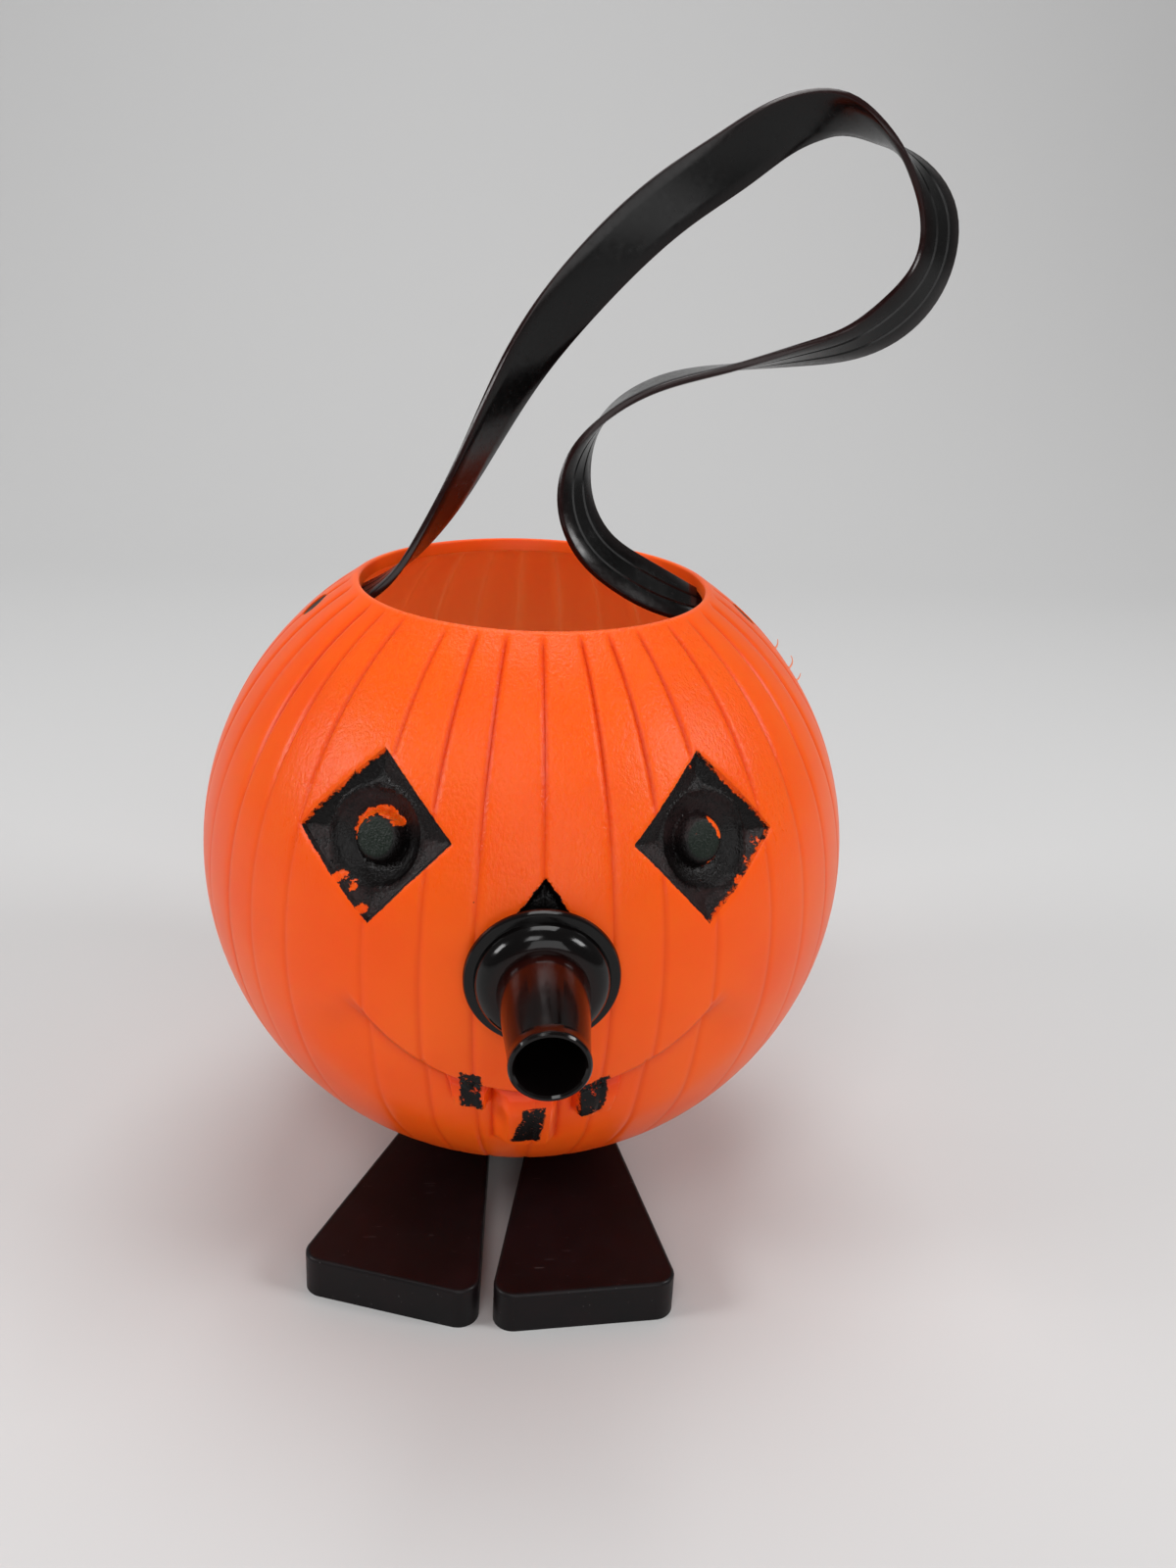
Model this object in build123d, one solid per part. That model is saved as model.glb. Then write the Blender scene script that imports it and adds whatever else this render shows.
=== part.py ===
"""Pumpkin candy pail: a moulded jack-o'-lantern bucket on a foot stand, with a horn nose and a strap."""
from build123d import *
from math import acos, cos, degrees, radians, sin, sqrt
import os

# Pumpkin shell, a thin ball with a flat base and a short round collar at its mouth
shell_radius = 75.5
wall = 1.6
base_flat_radius = 16.8
mouth_radius = 41.6
neck_height = 2.1
cut_overrun = 3.0
cut_through = 6.4

# Rib grooves down from the neck, deepest high up and fading out towards the eyes
front_groove_azimuths = (-52.2, -43.2, -28.2, -18.6, -10.2, 0.0, 10.8, 19.2, 28.8, 40.8, 50.4)
side_groove_azimuths = (60.0, 70.0, 80.0, 100.0, 110.0, 120.0)
back_groove_azimuths = (130.0, 140.0, 150.0, 160.0, 170.0, 180.0)
groove_elevation = 45.0
groove_reach_angle = 35.0
groove_neck_angle = 2.6
groove_radius = 1.6
groove_depth = 0.6

# Diamond eyes, sunk into the shell in four facets with a round dish and a standing pupil in each
eye_azimuth = 29.0
eye_elevation = 22.0
eye_roll_angle = 6.0
eye_half_width = 17.0
eye_half_height = 17.4
eye_brow_depth = 2.7
eye_depth = 6.2
eye_floor_half_width = 4.2
eye_floor_half_height = 4.3
eye_back_half_width = 9.2
eye_back_half_height = 9.4
dish_depth = 6.4
dish_ball_radius = 18.7
pupil_base_radius = 6.6
pupil_top_radius = 4.0
pupil_height = 3.8

# Triangular nose recess above the horn
triangle_height = 15.0
triangle_half_width = 12.4
triangle_rise = 7.6
triangle_depth = 2.2

# Smile: one moulded groove with three raised teeth under it
smile_tilt = 17.8
smile_spread = 36.6
smile_half_sweep = 54.0
smile_groove_radius = 1.4
smile_groove_lift = 0.6
side_tooth_width = 10.4
side_tooth_height = 11.5
side_tooth_azimuth = 11.6
side_tooth_elevation = -20.0
middle_tooth_width = 12.6
middle_tooth_height = 12.5
middle_tooth_azimuth = -1.5
middle_tooth_elevation = -29.0
tooth_stand = 1.3
tooth_corner_radius = 1.2
tooth_side_angle = 22.0

# Horn nose: flange, domed collar and a hollow tapered barrel, with a tail through the shell
nose_elevation = 4.1
nose_dip_angle = -4.0
flange_radius = 15.4
flange_thickness = 1.8
dome_radius = 13.4
dome_height = 4.6
dome_shoulder_radius = 12.2
dome_shoulder_rise = 4.0
barrel_base_radius = 8.9
barrel_tip_radius = 7.4
barrel_length = 22.5
bore_radius = 6.2
tail_radius = 7.2
tail_length = 11.0
tail_clearance = 0.1
tail_lead = 0.5

# Squeaker in the horn's tail
plug_length = 6.0
plug_clearance = 0.05
wind_slot_width = 4.4
wind_slot_height = 1.8
reed_thickness = 0.4
reed_width = 5.4
reed_overhang = 3.0

# Foot stand: two splayed slabs joined by a hub that snaps into the base on a round post
foot_thickness = 10.0
foot_turn_angle = -7.3
toe_reach = 76.3
toe_outer_reach = 67.6
toe_inner_offset = 1.2
toe_outer_offset = 42.3
heel_reach = 24.0
heel_inner_offset = 7.6
heel_outer_offset = 14.0
foot_corner_radius = 4.5
foot_edge_radius = 0.9
hub_radius = 15.0
hub_thickness = 4.0
post_radius = 5.0
post_clearance = 0.08
post_head_radius = 6.4
post_head_height = 2.4
post_head_gap = 0.4

# Strap handle with a round eyelet at each end, held by push buttons through the shell's sides
strap_width = 12.7
strap_thickness = 1.6
strap_hole_drop = 7.5
strap_hole_radius = 3.5
eyelet_gap = 0.7
button_clearance = 0.08
button_head_radius = 5.0
button_head_thickness = 1.4
button_sink = 0.5
hinge_reach = 13.4
hinge_clearance = 0.3
left_strap_slope = 29.0
right_strap_slope = 22.0
strap_rise = 102.0

# Strap route from the left eyelet to the right one, as shares of the strap's rise above the left
# hinge point, each with the direction across the strap from its front edge to its back edge
strap_route_shares = [
    (-0.250, 0.028, 0.093), (-0.196, 0.045, 0.170), (-0.120, 0.067, 0.306), (-0.025, 0.080, 0.483),
    (0.140, 0.080, 0.697), (0.274, 0.079, 0.821), (0.393, 0.080, 0.905), (0.506, 0.083, 0.977),
    (0.605, 0.086, 0.995), (0.700, 0.087, 0.958), (0.788, 0.087, 0.891), (0.836, 0.086, 0.816),
    (0.834, 0.086, 0.697), (0.775, 0.087, 0.611), (0.681, 0.091, 0.549), (0.584, 0.095, 0.521),
    (0.414, 0.101, 0.483), (0.281, 0.101, 0.450), (0.152, 0.090, 0.371), (0.096, 0.068, 0.275),
    (0.094, 0.040, 0.178), (0.138, 0.014, 0.098), (0.215, -0.004, 0.043),
]
strap_edge_shares = [
    (0.12, 0.90, -0.30), (0.29, 0.87, -0.36), (0.50, 0.80, -0.36), (0.66, 0.55, -0.50),
    (0.70, 0.08, -0.71), (0.61, 0.02, -0.79), (0.57, 0.20, -0.79), (0.41, 0.50, -0.75),
    (0.36, 0.74, -0.58), (0.32, 0.90, -0.26), (0.48, 0.82, 0.22), (0.72, 0.64, 0.24),
    (0.79, 0.56, -0.22), (0.70, 0.52, -0.50), (0.47, 0.72, -0.52), (0.29, 0.87, -0.40),
    (0.18, 0.98, -0.08), (0.08, 1.00, 0.02), (0.14, 0.98, -0.06), (0.48, 0.87, -0.04),
    (0.62, 0.78, 0.10), (0.63, 0.73, 0.25), (0.58, 0.72, 0.38),
]
right_end_edge_shares = (0.30, 0.88, 0.36)

# Places worked out from the sizes above
inner_radius = shell_radius - wall
collar_radius = mouth_radius + wall
base_drop = sqrt(shell_radius**2 - base_flat_radius**2)
shell_centre = Vector(0, 0, foot_thickness + base_drop)
rim_height = shell_centre.Z + sqrt(shell_radius**2 - collar_radius**2) + neck_height
neck_elevation = degrees(acos(collar_radius / shell_radius))
strap_hole_elevation = neck_elevation - degrees(strap_hole_drop / shell_radius)
strap_radius = inner_radius - eyelet_gap - strap_thickness / 2


def direction(azimuth: float, elevation: float) -> Vector:
    """Gives the way out of the shell's centre at an azimuth from the face's front and an elevation."""
    level = cos(radians(elevation))
    return Vector(level * sin(radians(azimuth)), -level * cos(radians(azimuth)), sin(radians(elevation)))


def shell_plane(azimuth: float, elevation: float, roll: float = 0) -> Plane:
    """Gives the plane that touches the outside of the shell, with its Y axis up the face."""
    out = direction(azimuth, elevation)
    across = Vector(cos(radians(azimuth)), sin(radians(azimuth)), 0)
    return Plane(origin=shell_centre + out * shell_radius, x_dir=across, z_dir=out).rotated((0, 0, roll))


def ball_profile(radius: float, base: float, neck: float, top: float) -> Face:
    """Gives the half section of a flat-based ball with a straight neck, on the XZ plane."""
    middle = shell_centre.Z
    foot = sqrt(radius**2 - (middle - base) ** 2)
    shoulder = middle + sqrt(radius**2 - neck**2)
    outline = Polyline((0, shoulder), (0, base), (foot, base))
    outline += ThreePointArc((foot, base), (radius, middle), (neck, shoulder))
    outline += Polyline((neck, shoulder), (neck, top), (0, top), (0, shoulder))
    return Plane.XZ * make_face(outline)


def outer_ball() -> Part:
    """Makes the pumpkin's outside as one solid, up to the rim."""
    return revolve(ball_profile(shell_radius, foot_thickness, collar_radius, rim_height), Axis.Z)


def hollow() -> Part:
    """Makes the space inside the pail, out through the mouth."""
    section = ball_profile(inner_radius, foot_thickness + wall, mouth_radius, rim_height + cut_overrun)
    return revolve(section, Axis.Z)


def rib_groove(azimuth: float) -> Part:
    """Makes the cutter of one rib groove, part of a ring that leaves the shell towards the eyes."""
    rise = groove_radius - groove_depth
    drift = groove_depth / (1 - cos(radians(groove_reach_angle)))
    start = groove_elevation - groove_reach_angle
    middle = shell_centre - direction(azimuth, groove_elevation) * drift
    across = direction(azimuth + 90, 0)
    low = direction(azimuth, start)
    section = Plane(origin=middle + low * (shell_radius + rise + drift), x_dir=low, z_dir=across.cross(low))
    sweep = neck_elevation - groove_neck_angle - start
    return revolve(section * Circle(groove_radius), Axis(middle, across), revolution_arc=-sweep)


def diamond(half_width: float, half_height: float) -> Sketch:
    """Draws a diamond about the origin."""
    return Polygon((half_width, 0), (0, half_height), (-half_width, 0), (0, -half_height), align=None)


def diamond_pit(brow: Sketch, floor: Sketch, step: float, deep: float, top: float) -> Part:
    """Makes a diamond pit with upright sides down to a step and four facets from there to its floor."""
    pit = loft([Pos(0, 0, -step) * brow, Pos(0, 0, -deep) * floor])
    return pit + extrude(Pos(0, 0, -step) * brow, step + top)


def eye_backing(plane: Plane) -> Part:
    """Makes the sunk wall behind an eye."""
    brow = diamond(eye_half_width + wall, eye_half_height + wall)
    floor = diamond(eye_back_half_width + wall, eye_back_half_height + wall)
    return plane * diamond_pit(brow, floor, eye_brow_depth + wall / 2, eye_depth + wall, 0)


def eye_cut(plane: Plane) -> Part:
    """Makes the hollow of an eye: the faceted pit and the round dish within it."""
    brow = diamond(eye_half_width, eye_half_height)
    floor = diamond(eye_floor_half_width, eye_floor_half_height)
    pit = diamond_pit(brow, floor, eye_brow_depth, eye_depth, cut_overrun)
    dish = Pos(0, 0, dish_ball_radius - dish_depth) * Sphere(dish_ball_radius)
    pit += dish & extrude(Pos(0, 0, -dish_depth) * brow, dish_depth)
    return plane * pit


def pupil(plane: Plane) -> Part:
    """Makes the round pupil that stands on an eye's floor."""
    seat = (Align.CENTER, Align.CENTER, Align.MIN)
    cone = Cone(pupil_base_radius, pupil_top_radius, pupil_height + wall / 2, align=seat)
    return plane * Pos(0, 0, -dish_depth - wall / 2) * cone


def nose_plane() -> Plane:
    """Gives the horn's seat plane, whose normal is the horn's axis."""
    seat = shell_centre + direction(0, nose_elevation) * shell_radius
    return Plane(origin=seat, x_dir=(1, 0, 0), z_dir=direction(0, nose_dip_angle))


def triangle_cut() -> Part:
    """Makes the triangular recess above the horn."""
    corners = ((-triangle_half_width, triangle_rise), (triangle_half_width, triangle_rise))
    outline = Polygon(*corners, (0, triangle_rise + triangle_height), align=None)
    deep = triangle_depth + triangle_height * sin(radians(nose_elevation - nose_dip_angle))
    return nose_plane() * extrude(Pos(0, 0, -deep) * outline, deep + cut_overrun)


def triangle_backing() -> Part:
    """Makes the wall behind the triangular recess."""
    half_width = triangle_half_width + wall
    low = triangle_rise - wall
    apex = triangle_rise + triangle_height + wall
    outline = Polygon((-half_width, low), (half_width, low), (0, apex), align=None)
    deep = triangle_depth + triangle_height * sin(radians(nose_elevation - nose_dip_angle)) + wall
    return nose_plane() * extrude(Pos(0, 0, -deep) * outline, deep)


def smile_groove() -> Part:
    """Makes the smile's groove cutter, a piece of a ring about an axis through the shell's centre."""
    axis_way = direction(0, smile_tilt)
    start = shell_centre + direction(0, smile_tilt - smile_spread) * (shell_radius + smile_groove_lift)
    ring = Plane(origin=start, x_dir=direction(0, smile_tilt - smile_spread), z_dir=(1, 0, 0))
    about = Axis(shell_centre, axis_way)
    arc = revolve(ring * Circle(smile_groove_radius), about, revolution_arc=2 * smile_half_sweep)
    return arc.rotate(about, -smile_half_sweep)


def tooth(azimuth: float, elevation: float, width: float, height: float) -> Part:
    """Makes one raised tooth with sloping sides."""
    root = Pos(0, 0, -wall / 2) * RectangleRounded(width, height, tooth_corner_radius)
    return shell_plane(azimuth, elevation) * extrude(root, wall / 2 + tooth_stand, taper=tooth_side_angle)


def strap_hole_plane(side: int) -> Plane:
    """Gives the plane of a strap hole on the shell's outside; side is -1 on the left and 1 on the right."""
    out = Vector(side * cos(radians(strap_hole_elevation)), 0, sin(radians(strap_hole_elevation)))
    return Plane(origin=shell_centre + out * shell_radius, x_dir=(0, 1, 0), z_dir=out)


def pumpkin_shell() -> Part:
    """Makes the orange shell with its face, mouth, strap holes, horn hole and post hole."""
    ball = outer_ball()
    eyes = [shell_plane(side * eye_azimuth, eye_elevation, -side * eye_roll_angle) for side in (-1, 1)]
    shell = ball - hollow()
    mirrored = [-azimuth for azimuth in side_groove_azimuths + back_groove_azimuths[:-1]]
    azimuths = [*front_groove_azimuths, *side_groove_azimuths, *back_groove_azimuths, *mirrored]
    shell -= [rib_groove(azimuth) for azimuth in azimuths]
    for eye in eyes:
        shell += eye_backing(eye) & ball
    shell += triangle_backing() & ball
    for eye in eyes:
        shell -= eye_cut(eye)
        shell += pupil(eye)
    shell -= triangle_cut()
    shell -= smile_groove()
    for side in (-1, 1):
        shell += tooth(side * side_tooth_azimuth, side_tooth_elevation, side_tooth_width, side_tooth_height)
        shell -= strap_hole_plane(side) * Cylinder(strap_hole_radius, cut_through)
    shell += tooth(middle_tooth_azimuth, middle_tooth_elevation, middle_tooth_width, middle_tooth_height)
    seat = (Align.CENTER, Align.CENTER, Align.MIN)
    shell -= nose_plane() * Cylinder(flange_radius + tail_clearance, flange_radius, align=seat)
    shell -= nose_plane() * Cylinder(tail_radius + tail_clearance, 2 * tail_length)
    shell -= Pos(0, 0, foot_thickness) * Cylinder(post_radius + post_clearance, cut_through)
    return shell


def nose_horn() -> Part:
    """Makes the horn: flange, dome, barrel and snap-in tail about one axis, with a bore right through."""
    dome_top = flange_thickness + dome_height
    tip = dome_top + barrel_length
    dome_shoulder = (dome_shoulder_radius, flange_thickness + dome_shoulder_rise)
    outline = Polyline(
        (bore_radius, -tail_length), (tail_radius - tail_lead, -tail_length),
        (tail_radius, tail_lead - tail_length), (tail_radius, 0), (flange_radius, 0),
        (flange_radius, flange_thickness), (dome_radius, flange_thickness),
    )
    outline += ThreePointArc((dome_radius, flange_thickness), dome_shoulder, (barrel_base_radius, dome_top))
    outline += Polyline(
        (barrel_base_radius, dome_top), (barrel_tip_radius, tip), (bore_radius, tip),
        (bore_radius, -tail_length),
    )
    return nose_plane() * revolve(Plane.XZ * make_face(outline), Axis.Z)


def reed_plug() -> Part:
    """Makes the plug in the horn's tail with its wind slot."""
    seat = (Align.CENTER, Align.CENTER, Align.MIN)
    plug = Cylinder(bore_radius - plug_clearance, plug_length, align=seat)
    plug -= Box(wind_slot_width, wind_slot_height, plug_length + cut_through, align=seat)
    return nose_plane() * Pos(0, 0, -tail_length) * plug


def reed_tongue() -> Part:
    """Makes the thin tongue that lies over the plug's wind slot and hums."""
    seat = (Align.CENTER, Align.CENTER, Align.MIN)
    tongue = Box(reed_width, wind_slot_height + reed_overhang, reed_thickness, align=seat)
    return nose_plane() * Pos(0, 0, plug_length - tail_length) * tongue


def foot_outline(side: int) -> Sketch:
    """Draws one foot: a long slab, narrow at the heel and wide at the toe, with rounded corners."""
    outline = Polygon(
        (side * toe_inner_offset, -toe_reach), (side * toe_outer_offset, -toe_outer_reach),
        (side * heel_outer_offset, heel_reach), (side * heel_inner_offset, heel_reach), align=None,
    )
    heel_radius = min(foot_corner_radius, (heel_outer_offset - heel_inner_offset) / 3)
    outline = fillet(outline.vertices().sort_by(Axis.Y)[2:], heel_radius)
    return fillet(outline.vertices().sort_by(Axis.Y)[:2], foot_corner_radius)


def foot_stand() -> Part:
    """Makes the two feet, the hub between them and the post that snaps into the shell's base."""
    seat = (Align.CENTER, Align.CENTER, Align.MIN)
    stand = Part()
    for side in (-1, 1):
        slab = extrude(foot_outline(side), foot_thickness, dir=(0, 0, 1))
        rims = slab.faces().sort_by(Axis.Z)[-1].edges()
        stand += fillet(rims, foot_edge_radius)
    stand += Pos(0, 0, foot_thickness - hub_thickness) * Cylinder(hub_radius, hub_thickness, align=seat)
    head = foot_thickness + wall + post_head_gap
    stand += Pos(0, 0, foot_thickness) * Cylinder(post_radius, wall + post_head_gap, align=seat)
    stand += Pos(0, 0, head) * Cone(post_head_radius, post_radius, post_head_height, align=seat)
    return Rot(0, 0, foot_turn_angle) * stand


def eyelet_centre(side: int) -> Vector:
    """Gives the middle of a strap eyelet."""
    plane = strap_hole_plane(side)
    return shell_centre + plane.z_dir * strap_radius


def hinge_point(side: int) -> Vector:
    """Gives the point where the strap starts to bend away from its eyelet."""
    slope = left_strap_slope if side < 0 else right_strap_slope
    return eyelet_centre(side) + Vector(-side * cos(radians(slope)), 0, sin(radians(slope))) * hinge_reach


def strap_end(side: int) -> Part:
    """Makes a strap's round eyelet, hollowed where the loop's end turns in it."""
    plane = strap_hole_plane(side)
    flat = Plane(origin=eyelet_centre(side), x_dir=plane.x_dir, z_dir=plane.z_dir)
    disc = flat * Cylinder(strap_width / 2, strap_thickness)
    disc -= flat * Cylinder(strap_hole_radius, cut_through)
    return disc - Pos(hinge_point(side)) * Sphere(strap_width / 2 + hinge_clearance)


def strap_button(side: int) -> Part:
    """Makes the push button through an eyelet and its strap hole, its end just under the surface."""
    plane = strap_hole_plane(side)
    inside = eyelet_centre(side) - plane.z_dir * (strap_thickness / 2)
    under = Plane(origin=inside, x_dir=plane.x_dir, z_dir=plane.z_dir)
    shank = shell_radius - button_sink - (strap_radius - strap_thickness / 2)
    seat = (Align.CENTER, Align.CENTER, Align.MIN)
    head = Cylinder(button_head_radius, button_head_thickness, align=seat)
    button = Cylinder(strap_hole_radius - button_clearance, shank, align=seat)
    button = under * (button + Pos(0, 0, -button_head_thickness) * head)
    return button - Pos(hinge_point(side)) * Sphere(strap_width / 2 + hinge_clearance)


def strap_stations() -> list[tuple[Vector, Vector, Vector]]:
    """Lists the strap's section places, each with its way across and its way along."""
    start, end = hinge_point(-1), hinge_point(1)
    base = Vector(0, 0, start.Z)
    middles = [start, *(base + Vector(*place) * strap_rise for place in strap_route_shares), end]
    edges = [*strap_edge_shares, right_end_edge_shares]
    across = [Vector(0, 1, 0), *(Vector(*edge) for edge in edges)]
    along = [Vector(cos(radians(left_strap_slope)), 0, sin(radians(left_strap_slope)))]
    along += [(middles[i + 1] - middles[i - 1]).normalized() for i in range(1, len(middles) - 1)]
    along += [Vector(cos(radians(right_strap_slope)), 0, -sin(radians(right_strap_slope)))]
    stations = []
    for middle, edge, way in zip(middles, across, along):
        stations.append((middle, (edge - way * edge.dot(way)).normalized(), way))
    return stations


def strap_tip(middle: Vector, edge: Vector, way: Vector) -> Part:
    """Makes the half-round end of the loop that turns in an eyelet's hollow; way points out of the loop."""
    half = Circle(strap_width / 2) & Pos(0, strap_width / 2) * Rectangle(strap_width, strap_width)
    flat = Plane(origin=middle, x_dir=edge, z_dir=edge.cross(way))
    return flat * extrude(half, strap_thickness / 2, both=True)


def handle_strap() -> Part:
    """Makes the strap's free loop along its route, with a half-round end at each eyelet."""
    stations = strap_stations()
    band = Rectangle(strap_width, strap_thickness)
    loop = loft([Plane(origin=place, x_dir=edge, z_dir=way) * band for place, edge, way in stations])
    first, last = stations[0], stations[-1]
    loop += strap_tip(first[0], first[1], first[2] * -1)
    loop += strap_tip(*last)
    return loop


nodes = {
    "pumpkin_shell": pumpkin_shell(),
    "nose_horn": nose_horn(),
    "reed_plug": reed_plug(),
    "reed_tongue": reed_tongue(),
    "foot_stand": foot_stand(),
    "strap_end_left": strap_end(-1),
    "strap_end_right": strap_end(1),
    "strap_button_left": strap_button(-1),
    "strap_button_right": strap_button(1),
    "handle_strap": handle_strap(),
}

os.makedirs("parts", exist_ok=True)
for name, shape in nodes.items():
    export_step(shape, f"parts/{name}.step")
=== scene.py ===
"""Pumpkin candy pail: a moulded jack-o'-lantern bucket with a horn nose, strap handle and foot stand."""

import logging
import math
from collections.abc import Callable
from dataclasses import dataclass, field
from enum import Enum

import bmesh
import bpy
import numpy as np
from bmesh.types import BMEdge, BMesh, BMFace, BMVert
from mathutils import Matrix, Vector


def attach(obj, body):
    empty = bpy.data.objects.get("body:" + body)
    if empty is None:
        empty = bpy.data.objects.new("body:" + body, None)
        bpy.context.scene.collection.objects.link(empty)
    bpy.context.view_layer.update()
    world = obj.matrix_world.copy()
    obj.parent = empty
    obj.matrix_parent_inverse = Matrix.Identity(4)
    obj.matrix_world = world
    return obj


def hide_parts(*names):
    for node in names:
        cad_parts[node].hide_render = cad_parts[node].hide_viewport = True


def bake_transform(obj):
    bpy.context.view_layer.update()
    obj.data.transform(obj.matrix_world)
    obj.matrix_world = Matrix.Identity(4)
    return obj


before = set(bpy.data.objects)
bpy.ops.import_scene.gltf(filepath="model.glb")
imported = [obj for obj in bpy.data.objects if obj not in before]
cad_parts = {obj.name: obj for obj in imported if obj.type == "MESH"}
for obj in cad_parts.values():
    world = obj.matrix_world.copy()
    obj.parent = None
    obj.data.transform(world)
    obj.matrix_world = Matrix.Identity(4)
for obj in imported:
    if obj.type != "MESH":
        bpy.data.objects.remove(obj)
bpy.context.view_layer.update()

log = logging.getLogger("pumpkin_pail")
MM = 0.001

Colour = tuple[float, float, float, float]
Triple = tuple[float, float, float]
Socket = bpy.types.NodeSocket
Piece = bpy.types.Object


class Slot(Enum):
    """The record's material slots."""

    SHELL = "orange_shell"
    GLOSS = "black_gloss"
    SATIN = "black_satin"
    STRAP = "strap_vinyl"
    REED = "reed"


class Wall(Enum):
    """The two faces of the moulded wall."""

    OUTER = 1
    INNER = 2


def ray(azimuth: float, elevation: float) -> np.ndarray:
    """Gives a direction out of the shell's centre.

    Args:
        azimuth: degrees from the face's front, towards the viewer's right.
        elevation: degrees above the shell's centre.

    Returns:
        A unit vector.
    """
    turn, lift = math.radians(azimuth), math.radians(elevation)
    return np.array([math.cos(lift) * math.sin(turn), -math.cos(lift) * math.cos(turn), math.sin(lift)])


def angles(rays: np.ndarray) -> tuple[np.ndarray, np.ndarray]:
    """Gives the azimuth and elevation of each ray, in degrees."""
    azimuth = np.degrees(np.arctan2(rays[:, 0], -rays[:, 1]))
    return azimuth, np.degrees(np.arcsin(np.clip(rays[:, 2], -1.0, 1.0)))


def ramp(value: np.ndarray, low: float, high: float) -> np.ndarray:
    """Rises smoothly from 0 at low to 1 at high."""
    share = np.clip((value - low) / (high - low), 0.0, 1.0)
    return share * share * (3.0 - 2.0 * share)


def new_piece(name: str, bm: BMesh, smooth_angle: float) -> Piece:
    """Turns a bmesh in millimetres into an object at the origin.

    Args:
        name: the piece's name.
        bm: the bmesh, which is freed.
        smooth_angle: degrees between faces above which an edge is sharp.

    Returns:
        The linked object.
    """
    bmesh.ops.scale(bm, vec=(MM, MM, MM), verts=bm.verts)
    mesh = bpy.data.meshes.new(name)
    bm.to_mesh(mesh)
    bm.free()
    for polygon in mesh.polygons:
        polygon.use_smooth = True
    mesh.set_sharp_from_angle(angle=math.radians(smooth_angle))
    piece = bpy.data.objects.new(name, mesh)
    bpy.context.scene.collection.objects.link(piece)
    return piece


def set_attribute(piece: Piece, name: str, values: np.ndarray) -> None:
    """Writes one number per vertex as a named attribute."""
    layer = piece.data.attributes.new(name, "FLOAT", "POINT")
    layer.data.foreach_set("value", values.astype(np.float32))


def points_of(piece: Piece) -> np.ndarray:
    """Gives a piece's vertices in millimetres.

    Args:
        piece: the piece.

    Returns:
        One row for each vertex.
    """
    flat = np.zeros(len(piece.data.vertices) * 3, np.float32)
    piece.data.vertices.foreach_get("co", flat)
    return flat.reshape(-1, 3).astype(float) / MM


# Finishes


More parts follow.
